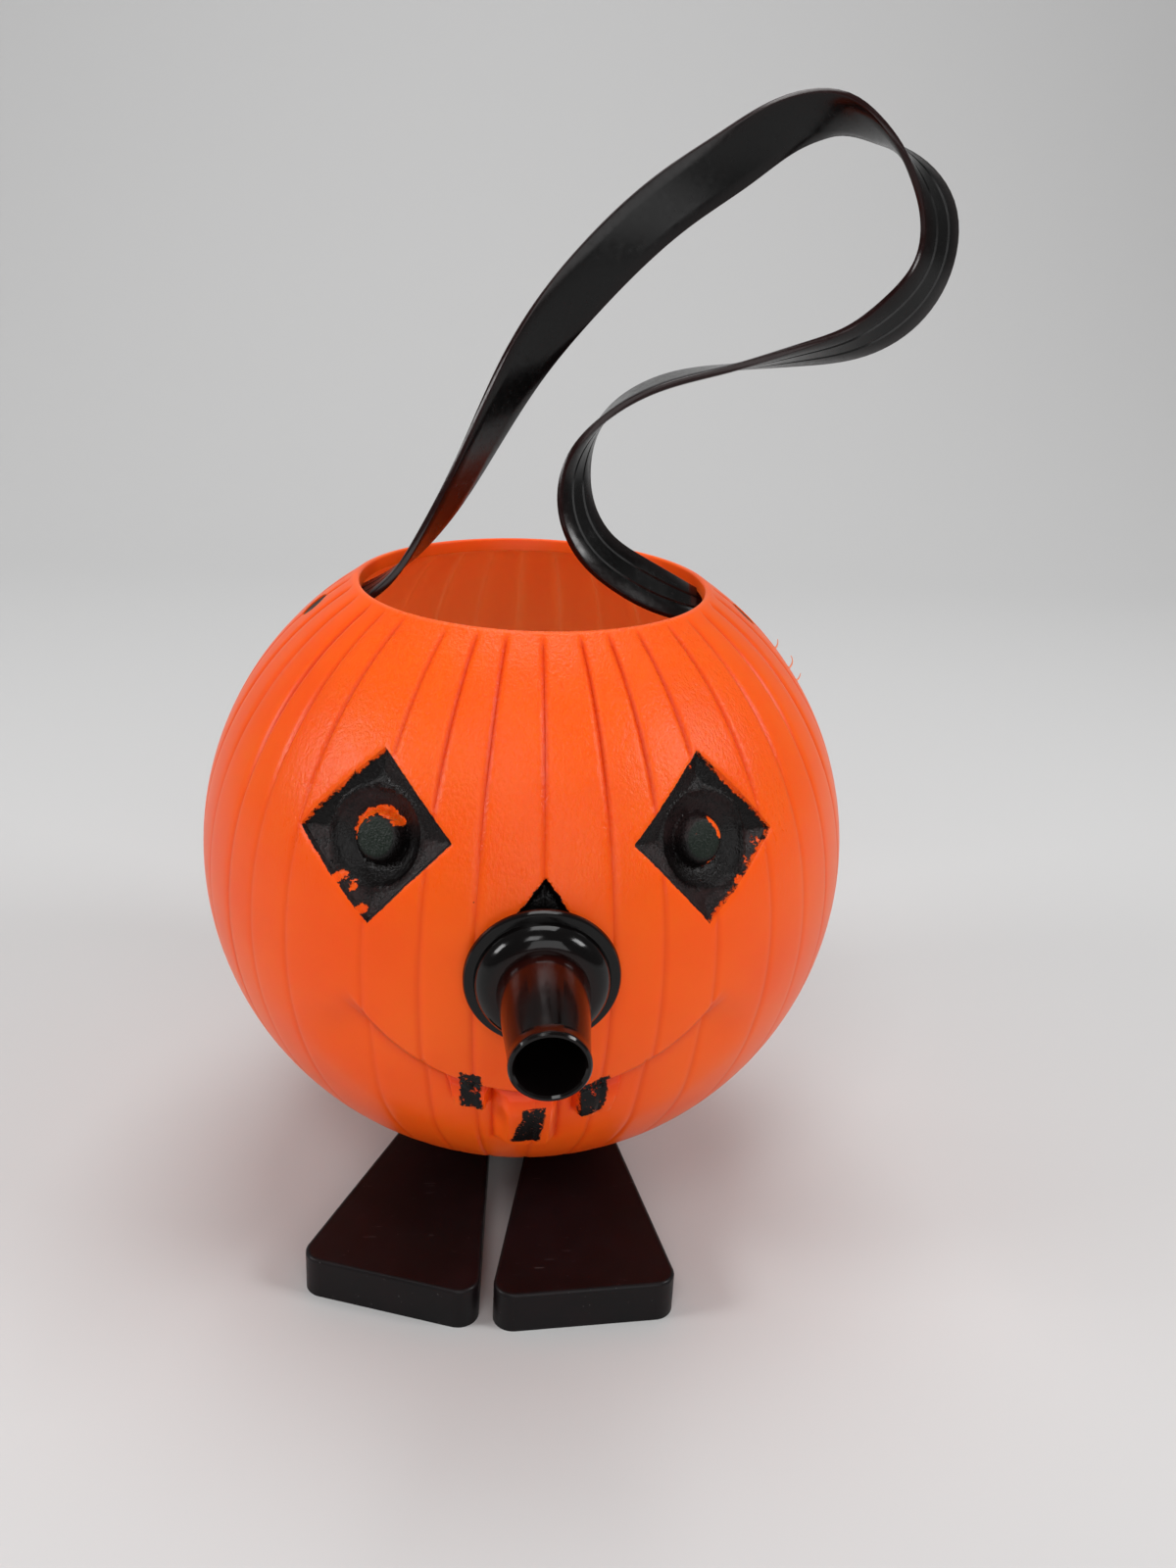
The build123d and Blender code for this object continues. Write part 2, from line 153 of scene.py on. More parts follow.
class Sheet:
    """A node sheet for one material, with short calls for nodes and links."""

    def __init__(self, name: str) -> None:
        """Starts an empty material with its output and one main shader.

        Args:
            name: the material's name.
        """
        self.material = bpy.data.materials.new(name)
        self.material.use_nodes = True
        self.tree = self.material.node_tree
        self.tree.nodes.clear()
        self.shader = self.node("ShaderNodeBsdfPrincipled")
        out = self.node("ShaderNodeOutputMaterial")
        self.link(self.shader.outputs["BSDF"], out.inputs["Surface"])
        self.place = self.node("ShaderNodeTexCoord").outputs["Object"]

    def node(self, kind: str, inputs: dict[int | str, object] | None = None,
             **values: object) -> bpy.types.Node:
        """Adds a node.

        Args:
            kind: its Blender type.
            inputs: what its sockets get, by name or number.
            values: its plain properties.

        Returns:
            The node.
        """
        made = self.tree.nodes.new(kind)
        for key, value in values.items():
            setattr(made, key, value)
        for key, value in (inputs or {}).items():
            self.feed(made.inputs[key], value)
        return made

    def link(self, source: Socket, target: Socket) -> None:
        """Joins two sockets."""
        self.tree.links.new(source, target)

    def feed(self, socket: Socket, value: object) -> None:
        """Links a socket, or sets it where the value is a number or a colour.

        Args:
            socket: an input.
            value: an output, a number or a colour.
        """
        if isinstance(value, Socket):
            self.link(value, socket)
        else:
            socket.default_value = value

    def set(self, **values: object) -> None:
        """Feeds the main shader; underscores in a name stand for spaces."""
        for key, value in values.items():
            self.feed(self.shader.inputs[key.replace("_", " ")], value)

    def attribute(self, name: str) -> Socket:
        """Reads a number stored on the mesh."""
        return self.node("ShaderNodeAttribute", attribute_name=name).outputs["Fac"]

    def noise(self, scale: float, stretch: Triple = (1.0, 1.0, 1.0), detail: float = 3.0,
              rough: float = 0.55) -> Socket:
        """Gives noise from 0 to 1 on the object's own coordinates.

        Args:
            scale: cells per metre.
            stretch: factors along the three axes.
            detail: octaves.
            rough: share of the finer octaves.

        Returns:
            The noise socket.
        """
        mapping = self.node("ShaderNodeMapping", {"Vector": self.place, "Scale": stretch})
        inputs = {"Vector": mapping.outputs["Vector"], "Scale": scale, "Detail": detail, "Roughness": rough}
        return self.node("ShaderNodeTexNoise", inputs).outputs["Fac"]

    def math(self, operation: str, first: object, second: object) -> Socket:
        """Works out one sum of two values."""
        return self.node("ShaderNodeMath", {0: first, 1: second}, operation=operation).outputs[0]

    def plus(self, first: object, second: object) -> Socket:
        """Adds two values."""
        return self.math("ADD", first, second)

    def times(self, first: object, second: object) -> Socket:
        """Multiplies two values."""
        return self.math("MULTIPLY", first, second)

    def step(self, value: object, low: float, high: float, to_low: float = 0.0,
             to_high: float = 1.0) -> Socket:
        """Maps a value from low to high onto another range, held at its ends."""
        inputs = {"Value": value, "From Min": low, "From Max": high, "To Min": to_low, "To Max": to_high}
        return self.node("ShaderNodeMapRange", inputs).outputs["Result"]

    def mix(self, share: object, first: object, second: object) -> Socket:
        """Mixes two colours."""
        return self.node("ShaderNodeMix", {0: share, 6: first, 7: second}, data_type="RGBA").outputs[2]

    def blend(self, share: object, first: object, second: object) -> Socket:
        """Mixes two numbers."""
        return self.node("ShaderNodeMix", {0: share, 2: first, 3: second}, data_type="FLOAT").outputs[0]

    def spot(self, place: Triple, radius: float) -> Socket:
        """Gives 1 within a small round spot about a place in metres."""
        apart = self.node("ShaderNodeVectorMath", {0: self.place, 1: place}, operation="DISTANCE")
        return self.step(apart.outputs["Value"], 0.7 * radius, radius, 1.0, 0.0)

    def bump(self, height: object, strength: float, depth: float) -> None:
        """Bumps the surface by a height field of that depth in metres."""
        inputs = {"Height": height, "Strength": strength, "Distance": depth}
        self.set(Normal=self.node("ShaderNodeBump", inputs).outputs["Normal"])


@dataclass(frozen=True)
class OrangeMoulding:
    """Orange moulded plastic with worn black paint on the face, painted shade in its grooves and beside the
    smile and teeth, and painted light on the inner wall, the eyes' facets and the pupils.
    """

    orange: Colour = (0.90, 0.112, 0.006, 1.0)
    deep: Colour = (0.86, 0.086, 0.004, 1.0)
    # Painted shade: a deeper orange that darkens the grooves, the band under the smile line and the teeth's
    # edges.
    crease: Colour = (0.66, 0.040, 0.003, 1.0)
    # Painted light: a paler colour on the inner wall, standing in for light that comes through the wall.
    inside: Colour = (1.0, 0.175, 0.055, 1.0)
    paint: Colour = (0.0016, 0.0012, 0.0012, 1.0)
    # A paler maroon paint: partly dusted paint, partly painted light on the eyes' facets and dishes.
    dusty_lit_paint: Colour = (0.032, 0.0150, 0.0150, 1.0)
    # Painted sheen: a lighter green-black on the pupils' flat tops.
    pupil_sheen: Colour = (0.009, 0.014, 0.010, 1.0)
    smooth_roughness: float = 0.21
    rough_roughness: float = 0.35
    shine: float = 0.19
    ragged_edge: float = 3.0
    ragged_wear: float = 2.4
    speck_radius: float = 0.0003
    outer_scatter: Colour = (1.0, 0.34, 0.10, 1.0)
    inner_scatter: Colour = (1.0, 0.80, 0.60, 1.0)
    outer_glow: float = 0.5
    inner_glow: float = 1.0
    outer_scatter_depth: float = 0.0028
    inner_scatter_depth: float = 0.0080
    wrinkle_strength: float = 0.80
    wrinkle_depth: float = 0.0004

    def body(self, sheet: Sheet) -> Socket:
        """Mixes the moulding's own colour, with painted shade in the grooves, under the smile and beside
        the teeth, and painted light on the inner wall.

        Args:
            sheet: the material's sheet.

        Returns:
            The colour.
        """
        plain = sheet.mix(sheet.step(sheet.noise(28.0), 0.35, 0.7), self.orange, self.deep)
        # Painted shade: the grooves, the smile's band and the teeth's edges are darkened in the colour.
        plain = sheet.mix(sheet.attribute("crease"), plain, self.crease)
        # Painted light: the inner wall is mixed to the paler inside colour.
        return sheet.mix(sheet.attribute("inner"), plain, self.inside)

    def painted(self, sheet: Sheet, specks: list[np.ndarray]) -> Socket:
        """Gives 1 where black paint covers the moulding: ragged at its edges and rubbed off in places.

        Args:
            sheet: the material's sheet.
            specks: places of stray specks of paint, in metres.

        Returns:
            The cover, from 0 to 1.
        """
        fine, broad = sheet.noise(1100.0, detail=5.0, rough=0.7), sheet.noise(260.0, detail=2.0)
        ragged = sheet.math("SUBTRACT", sheet.blend(0.45, fine, broad), 0.5)
        reach = sheet.plus(sheet.attribute("paint_reach"), sheet.times(ragged, self.ragged_edge))
        flakes = sheet.plus(sheet.attribute("paint_wear"), sheet.times(ragged, self.ragged_wear))
        kept = sheet.math("SUBTRACT", 1.0, sheet.step(flakes, 0.46, 0.54))
        cover = sheet.times(sheet.step(reach, -0.08, 0.10), kept)
        for place in specks:
            cover = sheet.math("MAXIMUM", cover, sheet.spot(tuple(place), self.speck_radius))
        return cover

    def material(self, specks: list[np.ndarray]) -> bpy.types.Material:
        """Builds the finish.

        Args:
            specks: places of stray specks of paint, in metres.

        Returns:
            The material.
        """
        sheet = Sheet("orange_moulding")
        painted, inner = self.painted(sheet, specks), sheet.attribute("inner")
        grain = sheet.noise(2600.0, detail=2.0)
        clouds = sheet.blend(0.5, sheet.step(sheet.noise(320.0), 0.4, 0.75), sheet.step(grain, 0.40, 0.62))
        # Paler paint where the eyes are dusted and where light is painted on the facets and the dish walls.
        dust_and_light = sheet.times(clouds, sheet.attribute("dust_and_light"))
        coat = sheet.mix(dust_and_light, self.paint, self.dusty_lit_paint)
        # Painted sheen: the pupils' flat tops get the lighter green-black.
        coat = sheet.mix(sheet.attribute("pupil"), coat, self.pupil_sheen)
        sheet.set(Base_Color=sheet.mix(painted, self.body(sheet), coat), Specular_IOR_Level=self.shine)
        streaks = sheet.noise(520.0, (1.0, 1.0, 0.25), rough=0.6)
        wrinkles = sheet.noise(1700.0, (1.0, 1.0, 0.5), rough=0.6)
        surface, wrinkle = sheet.blend(0.5, streaks, wrinkles), sheet.attribute("wrinkle")
        rubbed = sheet.step(surface, 0.3, 0.7, self.smooth_roughness, self.rough_roughness)
        plain = sheet.blend(wrinkle, self.rough_roughness, rubbed)
        glow = sheet.blend(inner, self.outer_glow, self.inner_glow)
        sheet.set(Roughness=sheet.blend(painted, plain, sheet.step(dust_and_light, 0.0, 1.0, 0.26, 0.52)),
                  Subsurface_Weight=sheet.blend(painted, glow, 0.0),
                  Subsurface_Radius=sheet.mix(inner, self.outer_scatter, self.inner_scatter),
                  Subsurface_Scale=sheet.blend(inner, self.outer_scatter_depth, self.inner_scatter_depth))
        coated = sheet.times(painted, sheet.plus(0.1, sheet.times(grain, 0.45)))
        relief = sheet.plus(sheet.times(surface, wrinkle), coated)
        sheet.bump(relief, self.wrinkle_strength, self.wrinkle_depth)
        return sheet.material


@dataclass(frozen=True)
class PaleFlash:
    """Thin flash of the same plastic, paler where light comes through."""

    pale: Colour = (0.86, 0.36, 0.20, 1.0)

    def material(self) -> bpy.types.Material:
        """Builds the finish.

        Returns:
            The material.
        """
        sheet = Sheet("pale_flash")
        sheet.set(Base_Color=self.pale, Roughness=0.4, Specular_IOR_Level=0.3)
        return sheet.material


@dataclass(frozen=True)
class GlossBlack:
    """Glossy black plastic, with a dark red glow painted on the barrel's foot and the flange's back edge,
    painted light standing in for light that comes through the plastic.
    """

    thick: Colour = (0.0024, 0.0019, 0.0019, 1.0)
    # Painted light: the dark red glow of light through the plastic.
    red_glow: Colour = (0.017, 0.0022, 0.0013, 1.0)

    def material(self) -> bpy.types.Material:
        """Builds the finish.

        Returns:
            The material.
        """
        sheet = Sheet("gloss_black")
        # Painted light: a dark red glow, broken up by clouds, on the barrel's foot and the flange's edge.
        cloud = sheet.step(sheet.noise(160.0), 0.3, 0.75)
        share = sheet.times(sheet.attribute("red_glow"), sheet.step(cloud, 0.0, 1.0, 0.65, 1.0))
        sheet.set(Base_Color=sheet.mix(share, self.thick, self.red_glow))
        smears = sheet.noise(380.0, (1.0, 0.4, 1.0), rough=0.6)
        sheet.set(Roughness=sheet.step(smears, 0.35, 0.8, 0.08, 0.22), Specular_IOR_Level=0.24)
        sheet.bump(smears, 0.10, 0.0001)
        return sheet.material


@dataclass(frozen=True)
class SatinBlack:
    """Satin black plastic with small pale scuffs."""

    black: Colour = (0.0036, 0.0028, 0.0032, 1.0)
    maroon: Colour = (0.0070, 0.0034, 0.0042, 1.0)
    scuff: Colour = (0.11, 0.10, 0.10, 1.0)

    def material(self) -> bpy.types.Material:
        """Builds the finish.

        Returns:
            The material.
        """
        sheet = Sheet("satin_black")
        body = sheet.mix(sheet.step(sheet.noise(60.0), 0.4, 0.7), self.black, self.maroon)
        lines = sheet.step(sheet.noise(160.0, (1.0, 9.0, 3.0), 2.0), 0.71, 0.74)
        specks = sheet.step(sheet.noise(1300.0, detail=1.0), 0.77, 0.80)
        marks = sheet.math("MAXIMUM", sheet.times(lines, 0.3), sheet.times(specks, 0.45))
        sheet.set(Base_Color=sheet.mix(marks, body, self.scuff))
        haze = sheet.step(sheet.noise(240.0), 0.3, 0.75, 0.34, 0.50)
        sheet.set(Roughness=haze, Specular_IOR_Level=0.20)
        sheet.bump(sheet.noise(3200.0, detail=1.0), 0.08, 0.0001)
        return sheet.material


@dataclass(frozen=True)
class StrapVinyl:
    """Semi-gloss black strap, with a little dark red glow painted on its edges, painted light standing in
    for light that comes through the plastic.
    """

    black: Colour = (0.0026, 0.0025, 0.0025, 1.0)
    # Painted light: the dark red glow on the strap's edges.
    edge: Colour = (0.012, 0.0026, 0.0024, 1.0)

    def material(self) -> bpy.types.Material:
        """Builds the finish.

        Returns:
            The material.
        """
        sheet = Sheet("strap_vinyl")
        # Painted light: a dark red glow mixed onto the strap's edges.
        sheet.set(Base_Color=sheet.mix(sheet.attribute("edge"), self.black, self.edge))
        drawn = sheet.noise(700.0)
        sheet.set(Roughness=sheet.step(drawn, 0.3, 0.75, 0.17, 0.30), Specular_IOR_Level=0.24)
        sheet.bump(drawn, 0.06, 0.0001)
        return sheet.material


@dataclass(frozen=True)
class ReedSheet:
    """Thin rolled reed sheet."""

    metal: Colour = (0.60, 0.42, 0.16, 1.0)
    dull: Colour = (0.34, 0.22, 0.09, 1.0)

    def material(self) -> bpy.types.Material:
        """Builds the finish.

        Returns:
            The material.
        """
        sheet = Sheet("reed_sheet")
        rolled = sheet.noise(500.0, (1.0, 8.0, 8.0))
        sheet.set(Base_Color=sheet.mix(rolled, self.metal, self.dull), Metallic=1.0)
        sheet.set(Roughness=sheet.step(rolled, 0.3, 0.7, 0.25, 0.45))
        return sheet.material


@dataclass(frozen=True)
class PaleFloor:
    """Plain pale floor and backdrop."""

    colour: Colour = (0.56, 0.56, 0.56, 1.0)

    def material(self) -> bpy.types.Material:
        """Builds the finish.

        Returns:
            The material.
        """
        sheet = Sheet("pale_floor")
        sheet.set(Base_Color=self.colour, Roughness=0.85)
        return sheet.material


# The pumpkin shell


@dataclass(frozen=True)
class Ball:
    """The moulded ball that the face is worked on."""

    radius: float = 75.5
    wall: float = 1.6
    centre_height: float = 83.607
    base_height: float = 10.0
    neck_radius: float = 40.0
    rim_height: float = 147.627
    post_hole_radius: float = 5.08

    @property
    def inner_radius(self) -> float:
        """Radius of the inner wall."""
        return self.radius - self.wall

    @property
    def centre(self) -> np.ndarray:
        """Middle of the ball."""
        return np.array([0.0, 0.0, self.centre_height])


@dataclass(frozen=True)
class Site:
    """A place on the ball with the flat plane that touches it there."""

    azimuth: float
    elevation: float
    reach: float = 75.5

    def axes(self) -> tuple[np.ndarray, np.ndarray, np.ndarray]:
        """Gives the ways across, up and out.

        Returns:
            Three unit vectors.
        """
        out = ray(self.azimuth, self.elevation)
        across = ray(self.azimuth + 90.0, 0.0)
        return across, np.cross(out, across), out

    def flat(self, rays: np.ndarray) -> tuple[np.ndarray, np.ndarray, np.ndarray]:
        """Spreads rays on the flat plane.

        Args:
            rays: unit vectors out of the ball's centre.

        Returns:
            Millimetres across and up the plane, and whether the ray meets it.
        """
        across, up, out = self.axes()
        ahead = rays @ out
        safe = np.where(ahead > 0.3, ahead, 1.0)
        return self.reach * (rays @ across) / safe, self.reach * (rays @ up) / safe, ahead > 0.3


@dataclass(frozen=True)
class Outline:
    """A convex outline on a site, its corners given as azimuth and elevation."""

    site: Site
    corners: tuple[tuple[float, float], ...]

    def rays(self) -> list[np.ndarray]:
        """Gives the corners as directions."""
        return [ray(a, e) for a, e in self.corners]

    def sides(self) -> list[tuple[np.ndarray, np.ndarray]]:
        """Gives the corner pairs, in order round the outline."""
        rays = self.rays()
        return list(zip(rays, rays[1:] + rays[:1]))

    def distances(self, rays: np.ndarray) -> np.ndarray:
        """Gives each ray's distance inside each side, negative outside.

        Args:
            rays: unit vectors out of the ball's centre.

        Returns:
            Millimetres, a row for each side.
        """
        u, v, ahead = self.site.flat(rays)
        cu, cv, _ = self.site.flat(np.array(self.rays()))
        mu, mv = cu.mean(), cv.mean()
        rows = []
        for i in range(len(cu)):
            j = (i + 1) % len(cu)
            du, dv = cu[j] - cu[i], cv[j] - cv[i]
            way = math.copysign(1.0 / math.hypot(du, dv), du * (mv - cv[i]) - dv * (mu - cu[i]))
            rows.append(np.where(ahead, way * (du * (v - cv[i]) - dv * (u - cu[i])), -1e3))
        return np.array(rows)

    def inset(self, rays: np.ndarray) -> np.ndarray:
        """Gives each ray's distance inside the nearest side, negative outside, in millimetres."""
        return self.distances(rays).min(axis=0)


@dataclass(frozen=True)
class Eye:
    """A sunk diamond eye: four facets, a round dish and a standing pupil."""

    side: int
    lip_width: float = 0.35
    lip_depth: float = 0.9
    brow_width: float = 1.3
    brow_sink: float = 0.24
    facet_slope: float = 0.40
    dish_radius: float = 10.4
    dish_edge: float = 2.1
    dish_floor: float = 6.4
    dish_power: float = 2.2
    pupil_top: float = 2.3
    pupil_flat: float = 4.1
    pupil_foot: float = 6.9
    pupil_skirt: float = 0.6
    pupil_power: float = 1.7
    bead_height: float = 0.42
    bead_half_width: float = 0.42
    # Share of paler paint on each facet: partly dusted, partly painted light on the facets that face up.
    facet_dust_and_light: tuple[float, ...] = (0.04, 0.85, 0.80, 0.25)

    @property
    def outline(self) -> Outline:
        """The diamond's edge."""
        corners = ((30.5, 35.6), (43.0, 20.8), (27.4, 9.2), (15.0, 23.1))
        return Outline(self.site, tuple((self.side * a, e) for a, e in corners))

    @property
    def site(self) -> Site:
        """The middle of the eye."""
        return Site(self.side * 29.0, 22.0)

    def polar(self, rays: np.ndarray) -> tuple[np.ndarray, np.ndarray]:
        """Gives distance from the pupil's middle in millimetres and the angle round it in degrees."""
        u, v, ahead = self.site.flat(rays)
        return np.where(ahead, np.hypot(u, v), 1e3), np.degrees(np.arctan2(v, u))

    def depth(self, rays: np.ndarray, skin: float = 0.0, with_pupil: bool = True) -> np.ndarray:
        """Gives how far the eye is sunk below the ball.

        Args:
            rays: directions out of the ball's centre.
            skin: millimetres by which the outline is grown.
            with_pupil: whether the pupil stands in it.

        Returns:
            Millimetres inward, zero outside the eye.
        """
        inset = self.outline.inset(rays) + skin
        brow = self.brow_sink * np.clip(1.0 + inset / self.brow_width, 0.0, 1.0) ** 2
        r, _ = self.polar(rays)
        lip = self.lip_depth * np.clip(inset / self.lip_width, 0.0, 1.0)
        slope = self.facet_slope * np.clip(inset - self.lip_width, 0.0, None)
        facet = np.minimum(lip + slope, self.dish_edge)
        share = np.clip(r / self.dish_radius, 0.0, 1.0)
        dish = self.dish_floor - (self.dish_floor - self.dish_edge) * share**self.dish_power
        dish = np.where(r < self.dish_radius, dish, 0.0)
        sunk = np.maximum(facet, dish)
        sunk -= self.bead_height * np.exp(-(((r - self.dish_radius) / self.bead_half_width) ** 2))
        if with_pupil:
            rise = np.clip((r - self.pupil_flat) / (self.pupil_foot - self.pupil_flat), 0.0, None)
            fall = self.dish_floor - self.pupil_top + self.pupil_skirt
            dome = self.pupil_top + fall * rise**self.pupil_power
            sunk = np.where(r < self.pupil_foot + 1.0, np.minimum(sunk, dome), sunk)
        return np.where(inset > 0.0, np.maximum(sunk, 0.0), 0.0) + brow

    def paint(self, rays: np.ndarray) -> np.ndarray:
        """Gives how far inside the painted diamond each ray is, in millimetres; two sides are ragged.

        Args:
            rays: directions out of the ball's centre.

        Returns:
            Millimetres, negative outside.
        """
        slack = np.array((-0.30, 0.1 if self.side < 0 else -0.25, 0.25, 0.25))[:, None]
        crisp = np.array((0.8, 2.2 if self.side < 0 else 0.9, 3.0, 3.0))[:, None]
        return ((self.outline.distances(rays) + slack) * crisp).min(axis=0)

    def dust_and_light(self, rays: np.ndarray) -> np.ndarray:
        """Gives the share of the paler paint on each facet and round the dish, from 0 to 1, zero outside
        the eye: partly dusted paint, partly painted light on the upward-facing facets and the dish's upper
        wall.

        Args:
            rays: directions out of the ball's centre.

        Returns:
            One number for each ray.
        """
        apart = self.outline.distances(rays)
        facet = np.array(self.facet_dust_and_light)[apart.argmin(axis=0)]
        r, angle = self.polar(rays)
        # Painted light: the dish's upper wall gets the paler paint.
        lit = ramp(angle, 0.0, 50.0) * (1.0 - ramp(angle, 160.0, 180.0))
        within = np.where(r < self.dish_radius, 0.08 + 0.75 * lit, facet)
        return np.where(apart.min(axis=0) > -0.5, within, 0.0)


@dataclass(frozen=True)
class Tooth:
    """A raised tooth with sloping sides and a patch of paint on it."""

    outline: Outline
    patch: Outline
    stand: float
    slopes: tuple[float, float, float, float]

    def share(self, rays: np.ndarray) -> np.ndarray:
        """Gives the tooth's rise, from 0 at its foot to 1 on its face."""
        slopes = np.array(self.slopes)[:, None]
        return np.clip((self.outline.distances(rays) / slopes).min(axis=0), 0.0, 1.0)


@dataclass(frozen=True)
class Relief:
    """Everything that is moulded into the ball: ribs, seams, eyes, triangle, smile and teeth."""

    ball: Ball = field(default_factory=Ball)
    eyes: tuple[Eye, Eye] = (Eye(-1), Eye(1))
    front_grooves: tuple[float, ...] = (
        -52.2, -43.2, -28.2, -18.6, -10.2, 0.0, 10.8, 19.2, 28.8, 40.8, 50.4)
    groove_weights: tuple[float, ...] = (0.6, 0.7, 0.7, 1.0, 1.1, 1.0, 1.1, 1.0, 0.9, 0.8, 0.6)
    groove_half_width: float = 0.85
    groove_depth: float = 0.55
    faint_depth: float = 0.27
    lobe_height: float = 0.07
    seam_height: float = 0.09
    seam_half_width: float = 0.55
    smile_tilt: float = 17.8
    smile_spread: float = 36.6
    smile_half_sweep: float = 60.0
    smile_end_fade: float = 12.0
    smile_step: float = 2.1
    smile_crease: float = 0.15
    tooth_crease: float = 0.34
    smile_fade: float = 17.0
    triangle_depth: float = 2.2
    nose_elevation: float = 4.1
    nose_dip: float = -4.0
    flange_radius: float = 15.6

    @property
    def triangle(self) -> Outline:
        """The triangular recess above the horn."""
        return Outline(Site(0.0, 12.0), ((0.3, 19.0), (6.6, 9.6), (-6.6, 9.6)))

    @property
    def teeth(self) -> tuple[Tooth, ...]:
        """The three teeth under the smile."""
        left, middle, right = Site(-11.4, -19.0), Site(-1.5, -26.0), Site(11.2, -20.0)
        side_slopes = (0.8, 1.3, 0.9, 1.3)
        return (
            Tooth(Outline(left, ((-15.8, -12.6), (-7.2, -14.0), (-7.6, -23.4), (-14.2, -22.8))),
                  Outline(left, ((-12.7, -14.6), (-8.9, -15.5), (-8.8, -22.5), (-12.2, -21.9))),
                  1.5, side_slopes),
            Tooth(Outline(middle, ((-7.4, -18.4), (4.4, -18.4), (4.6, -33.6), (-7.6, -33.6))),
                  Outline(middle, ((-2.0, -22.1), (1.7, -21.7), (1.3, -31.5), (-3.9, -31.7))),
                  2.0, (2.8, 2.0, 1.2, 3.8)),
            Tooth(Outline(right, ((6.2, -14.8), (15.4, -13.2), (14.0, -24.6), (7.0, -25.8))),
                  Outline(right, ((7.4, -18.2), (12.2, -15.6), (11.5, -23.2), (7.6, -25.0))),
                  1.5, side_slopes),
        )

    def grooves(self) -> list[tuple[float, float]]:
        """Lists the rib grooves as azimuth and weight, all round the ball.

        Returns:
            Degrees and a share of the depth, for each.
        """
        listed = list(zip(self.front_grooves, self.groove_weights))
        for i in range(25):
            listed.append((60.0 + 10.0 * i, 0.75 + 0.2 * math.sin(2.4 * i)))
        return listed

    def ribs(self, azimuth: np.ndarray, elevation: np.ndarray) -> np.ndarray:
        """Gives the ribs' height above the plain ball, in millimetres.

        Args:
            azimuth: degrees, one for each ray.
            elevation: degrees, one for each ray.

        Returns:
            Millimetres outward.
        """
        level = np.cos(np.radians(elevation)) * self.ball.radius
        below_rim = 1.0 - ramp(elevation, 56.0, 57.3)
        strong = ramp(elevation, 14.0, 40.0) * below_rim
        faint = ramp(elevation, -68.0, -45.0) * below_rim
        depth = self.faint_depth * faint + (self.groove_depth - self.faint_depth) * strong
        cut = np.zeros_like(azimuth)
        nearest = np.full_like(azimuth, 1e3)
        for place, weight in self.grooves():
            apart = np.abs((azimuth - place + 180.0) % 360.0 - 180.0)
            off = np.radians(apart) * level
            cut = np.maximum(cut, weight * np.clip(1.0 - off / self.groove_half_width, 0.0, 1.0))
            nearest = np.minimum(nearest, apart)
        lobe = self.lobe_height * (np.sqrt(np.clip(nearest / 5.0, 0.0, 1.0)) - 1.0)
        return lobe * strong - depth * cut

    def seams(self, azimuth: np.ndarray, elevation: np.ndarray) -> np.ndarray:
        """Gives the height of the mould's parting line at both sides, in millimetres.

        Args:
            azimuth: degrees, one for each ray.
            elevation: degrees, one for each ray.

        Returns:
            Millimetres outward.
        """
        off = np.radians(np.abs(np.abs(azimuth) - 90.0)) * np.cos(np.radians(elevation)) * self.ball.radius
        kept = 1.0 - ramp(elevation, 50.0, 54.0)
        return self.seam_height * (np.exp(-((off / self.seam_half_width) ** 2)) * kept - 1.0)

    def along_smile(self, rays: np.ndarray) -> tuple[np.ndarray, np.ndarray]:
        """Gives degrees below the smile line and degrees along it from its middle.

        Args:
            rays: directions out of the ball's centre.

        Returns:
            Both angles, for each ray.
        """
        axis = ray(0.0, self.smile_tilt)
        across, up = ray(90.0, 0.0), np.cross(axis, ray(90.0, 0.0))
        below = np.degrees(np.arccos(np.clip(rays @ axis, -1.0, 1.0))) - self.smile_spread
        return below, np.degrees(np.abs(np.arctan2(rays @ across, -(rays @ up))))

    def beside_smile(self, rays: np.ndarray) -> np.ndarray:
        """Tells which rays lie close beside the smile line."""
        below, along = self.along_smile(rays)
        return (below > -0.9) & (below < 3.0) & (along < self.smile_half_sweep)

    def smile_ends(self, swing: np.ndarray) -> np.ndarray:
        """Fades the smile out near its ends, from 1 to 0."""
        return 1.0 - ramp(swing, self.smile_half_sweep - self.smile_end_fade, self.smile_half_sweep)

    def smile(self, rays: np.ndarray) -> np.ndarray:
        """Gives the sunk step under the smile line, in millimetres inward.

        Args:
            rays: directions out of the ball's centre.

        Returns:
            Millimetres inward.
        """
        angle, swing = self.along_smile(rays)
        step = np.clip(angle / 2.3, 0.0, 1.0) ** 0.8 * (1.0 - ramp(angle, 2.4, self.smile_fade))
        crease = np.exp(-(((angle - 0.5) / 0.5) ** 2))
        return (self.smile_step * step + self.smile_crease * crease) * self.smile_ends(swing)

    def triangle_sink(self, rays: np.ndarray) -> np.ndarray:
        """Gives the depth of the triangular recess, in millimetres."""
        return self.triangle_depth * ramp(self.triangle.inset(rays), 0.0, 0.8)

    def seat(self, rays: np.ndarray, radius: np.ndarray) -> np.ndarray:
        """Holds the wall back behind the horn's flange.

        Args:
            rays: directions out of the ball's centre.
            radius: distance of the wall along each ray.

        Returns:
            The distance, cut at the flange's flat seat.
        """
        place = ray(0.0, self.nose_elevation) * self.ball.radius
        axis = ray(0.0, self.nose_dip)
        spread = rays * radius[:, None] - place
        off = np.linalg.norm(spread - np.outer(spread @ axis, axis), axis=1)
        ahead = rays @ axis
        limit = (place @ axis - 0.06) / np.where(ahead > 0.5, ahead, 1.0)
        near = (off < self.flange_radius) & (ahead > 0.5)
        return np.where(near, np.minimum(radius, limit), radius)

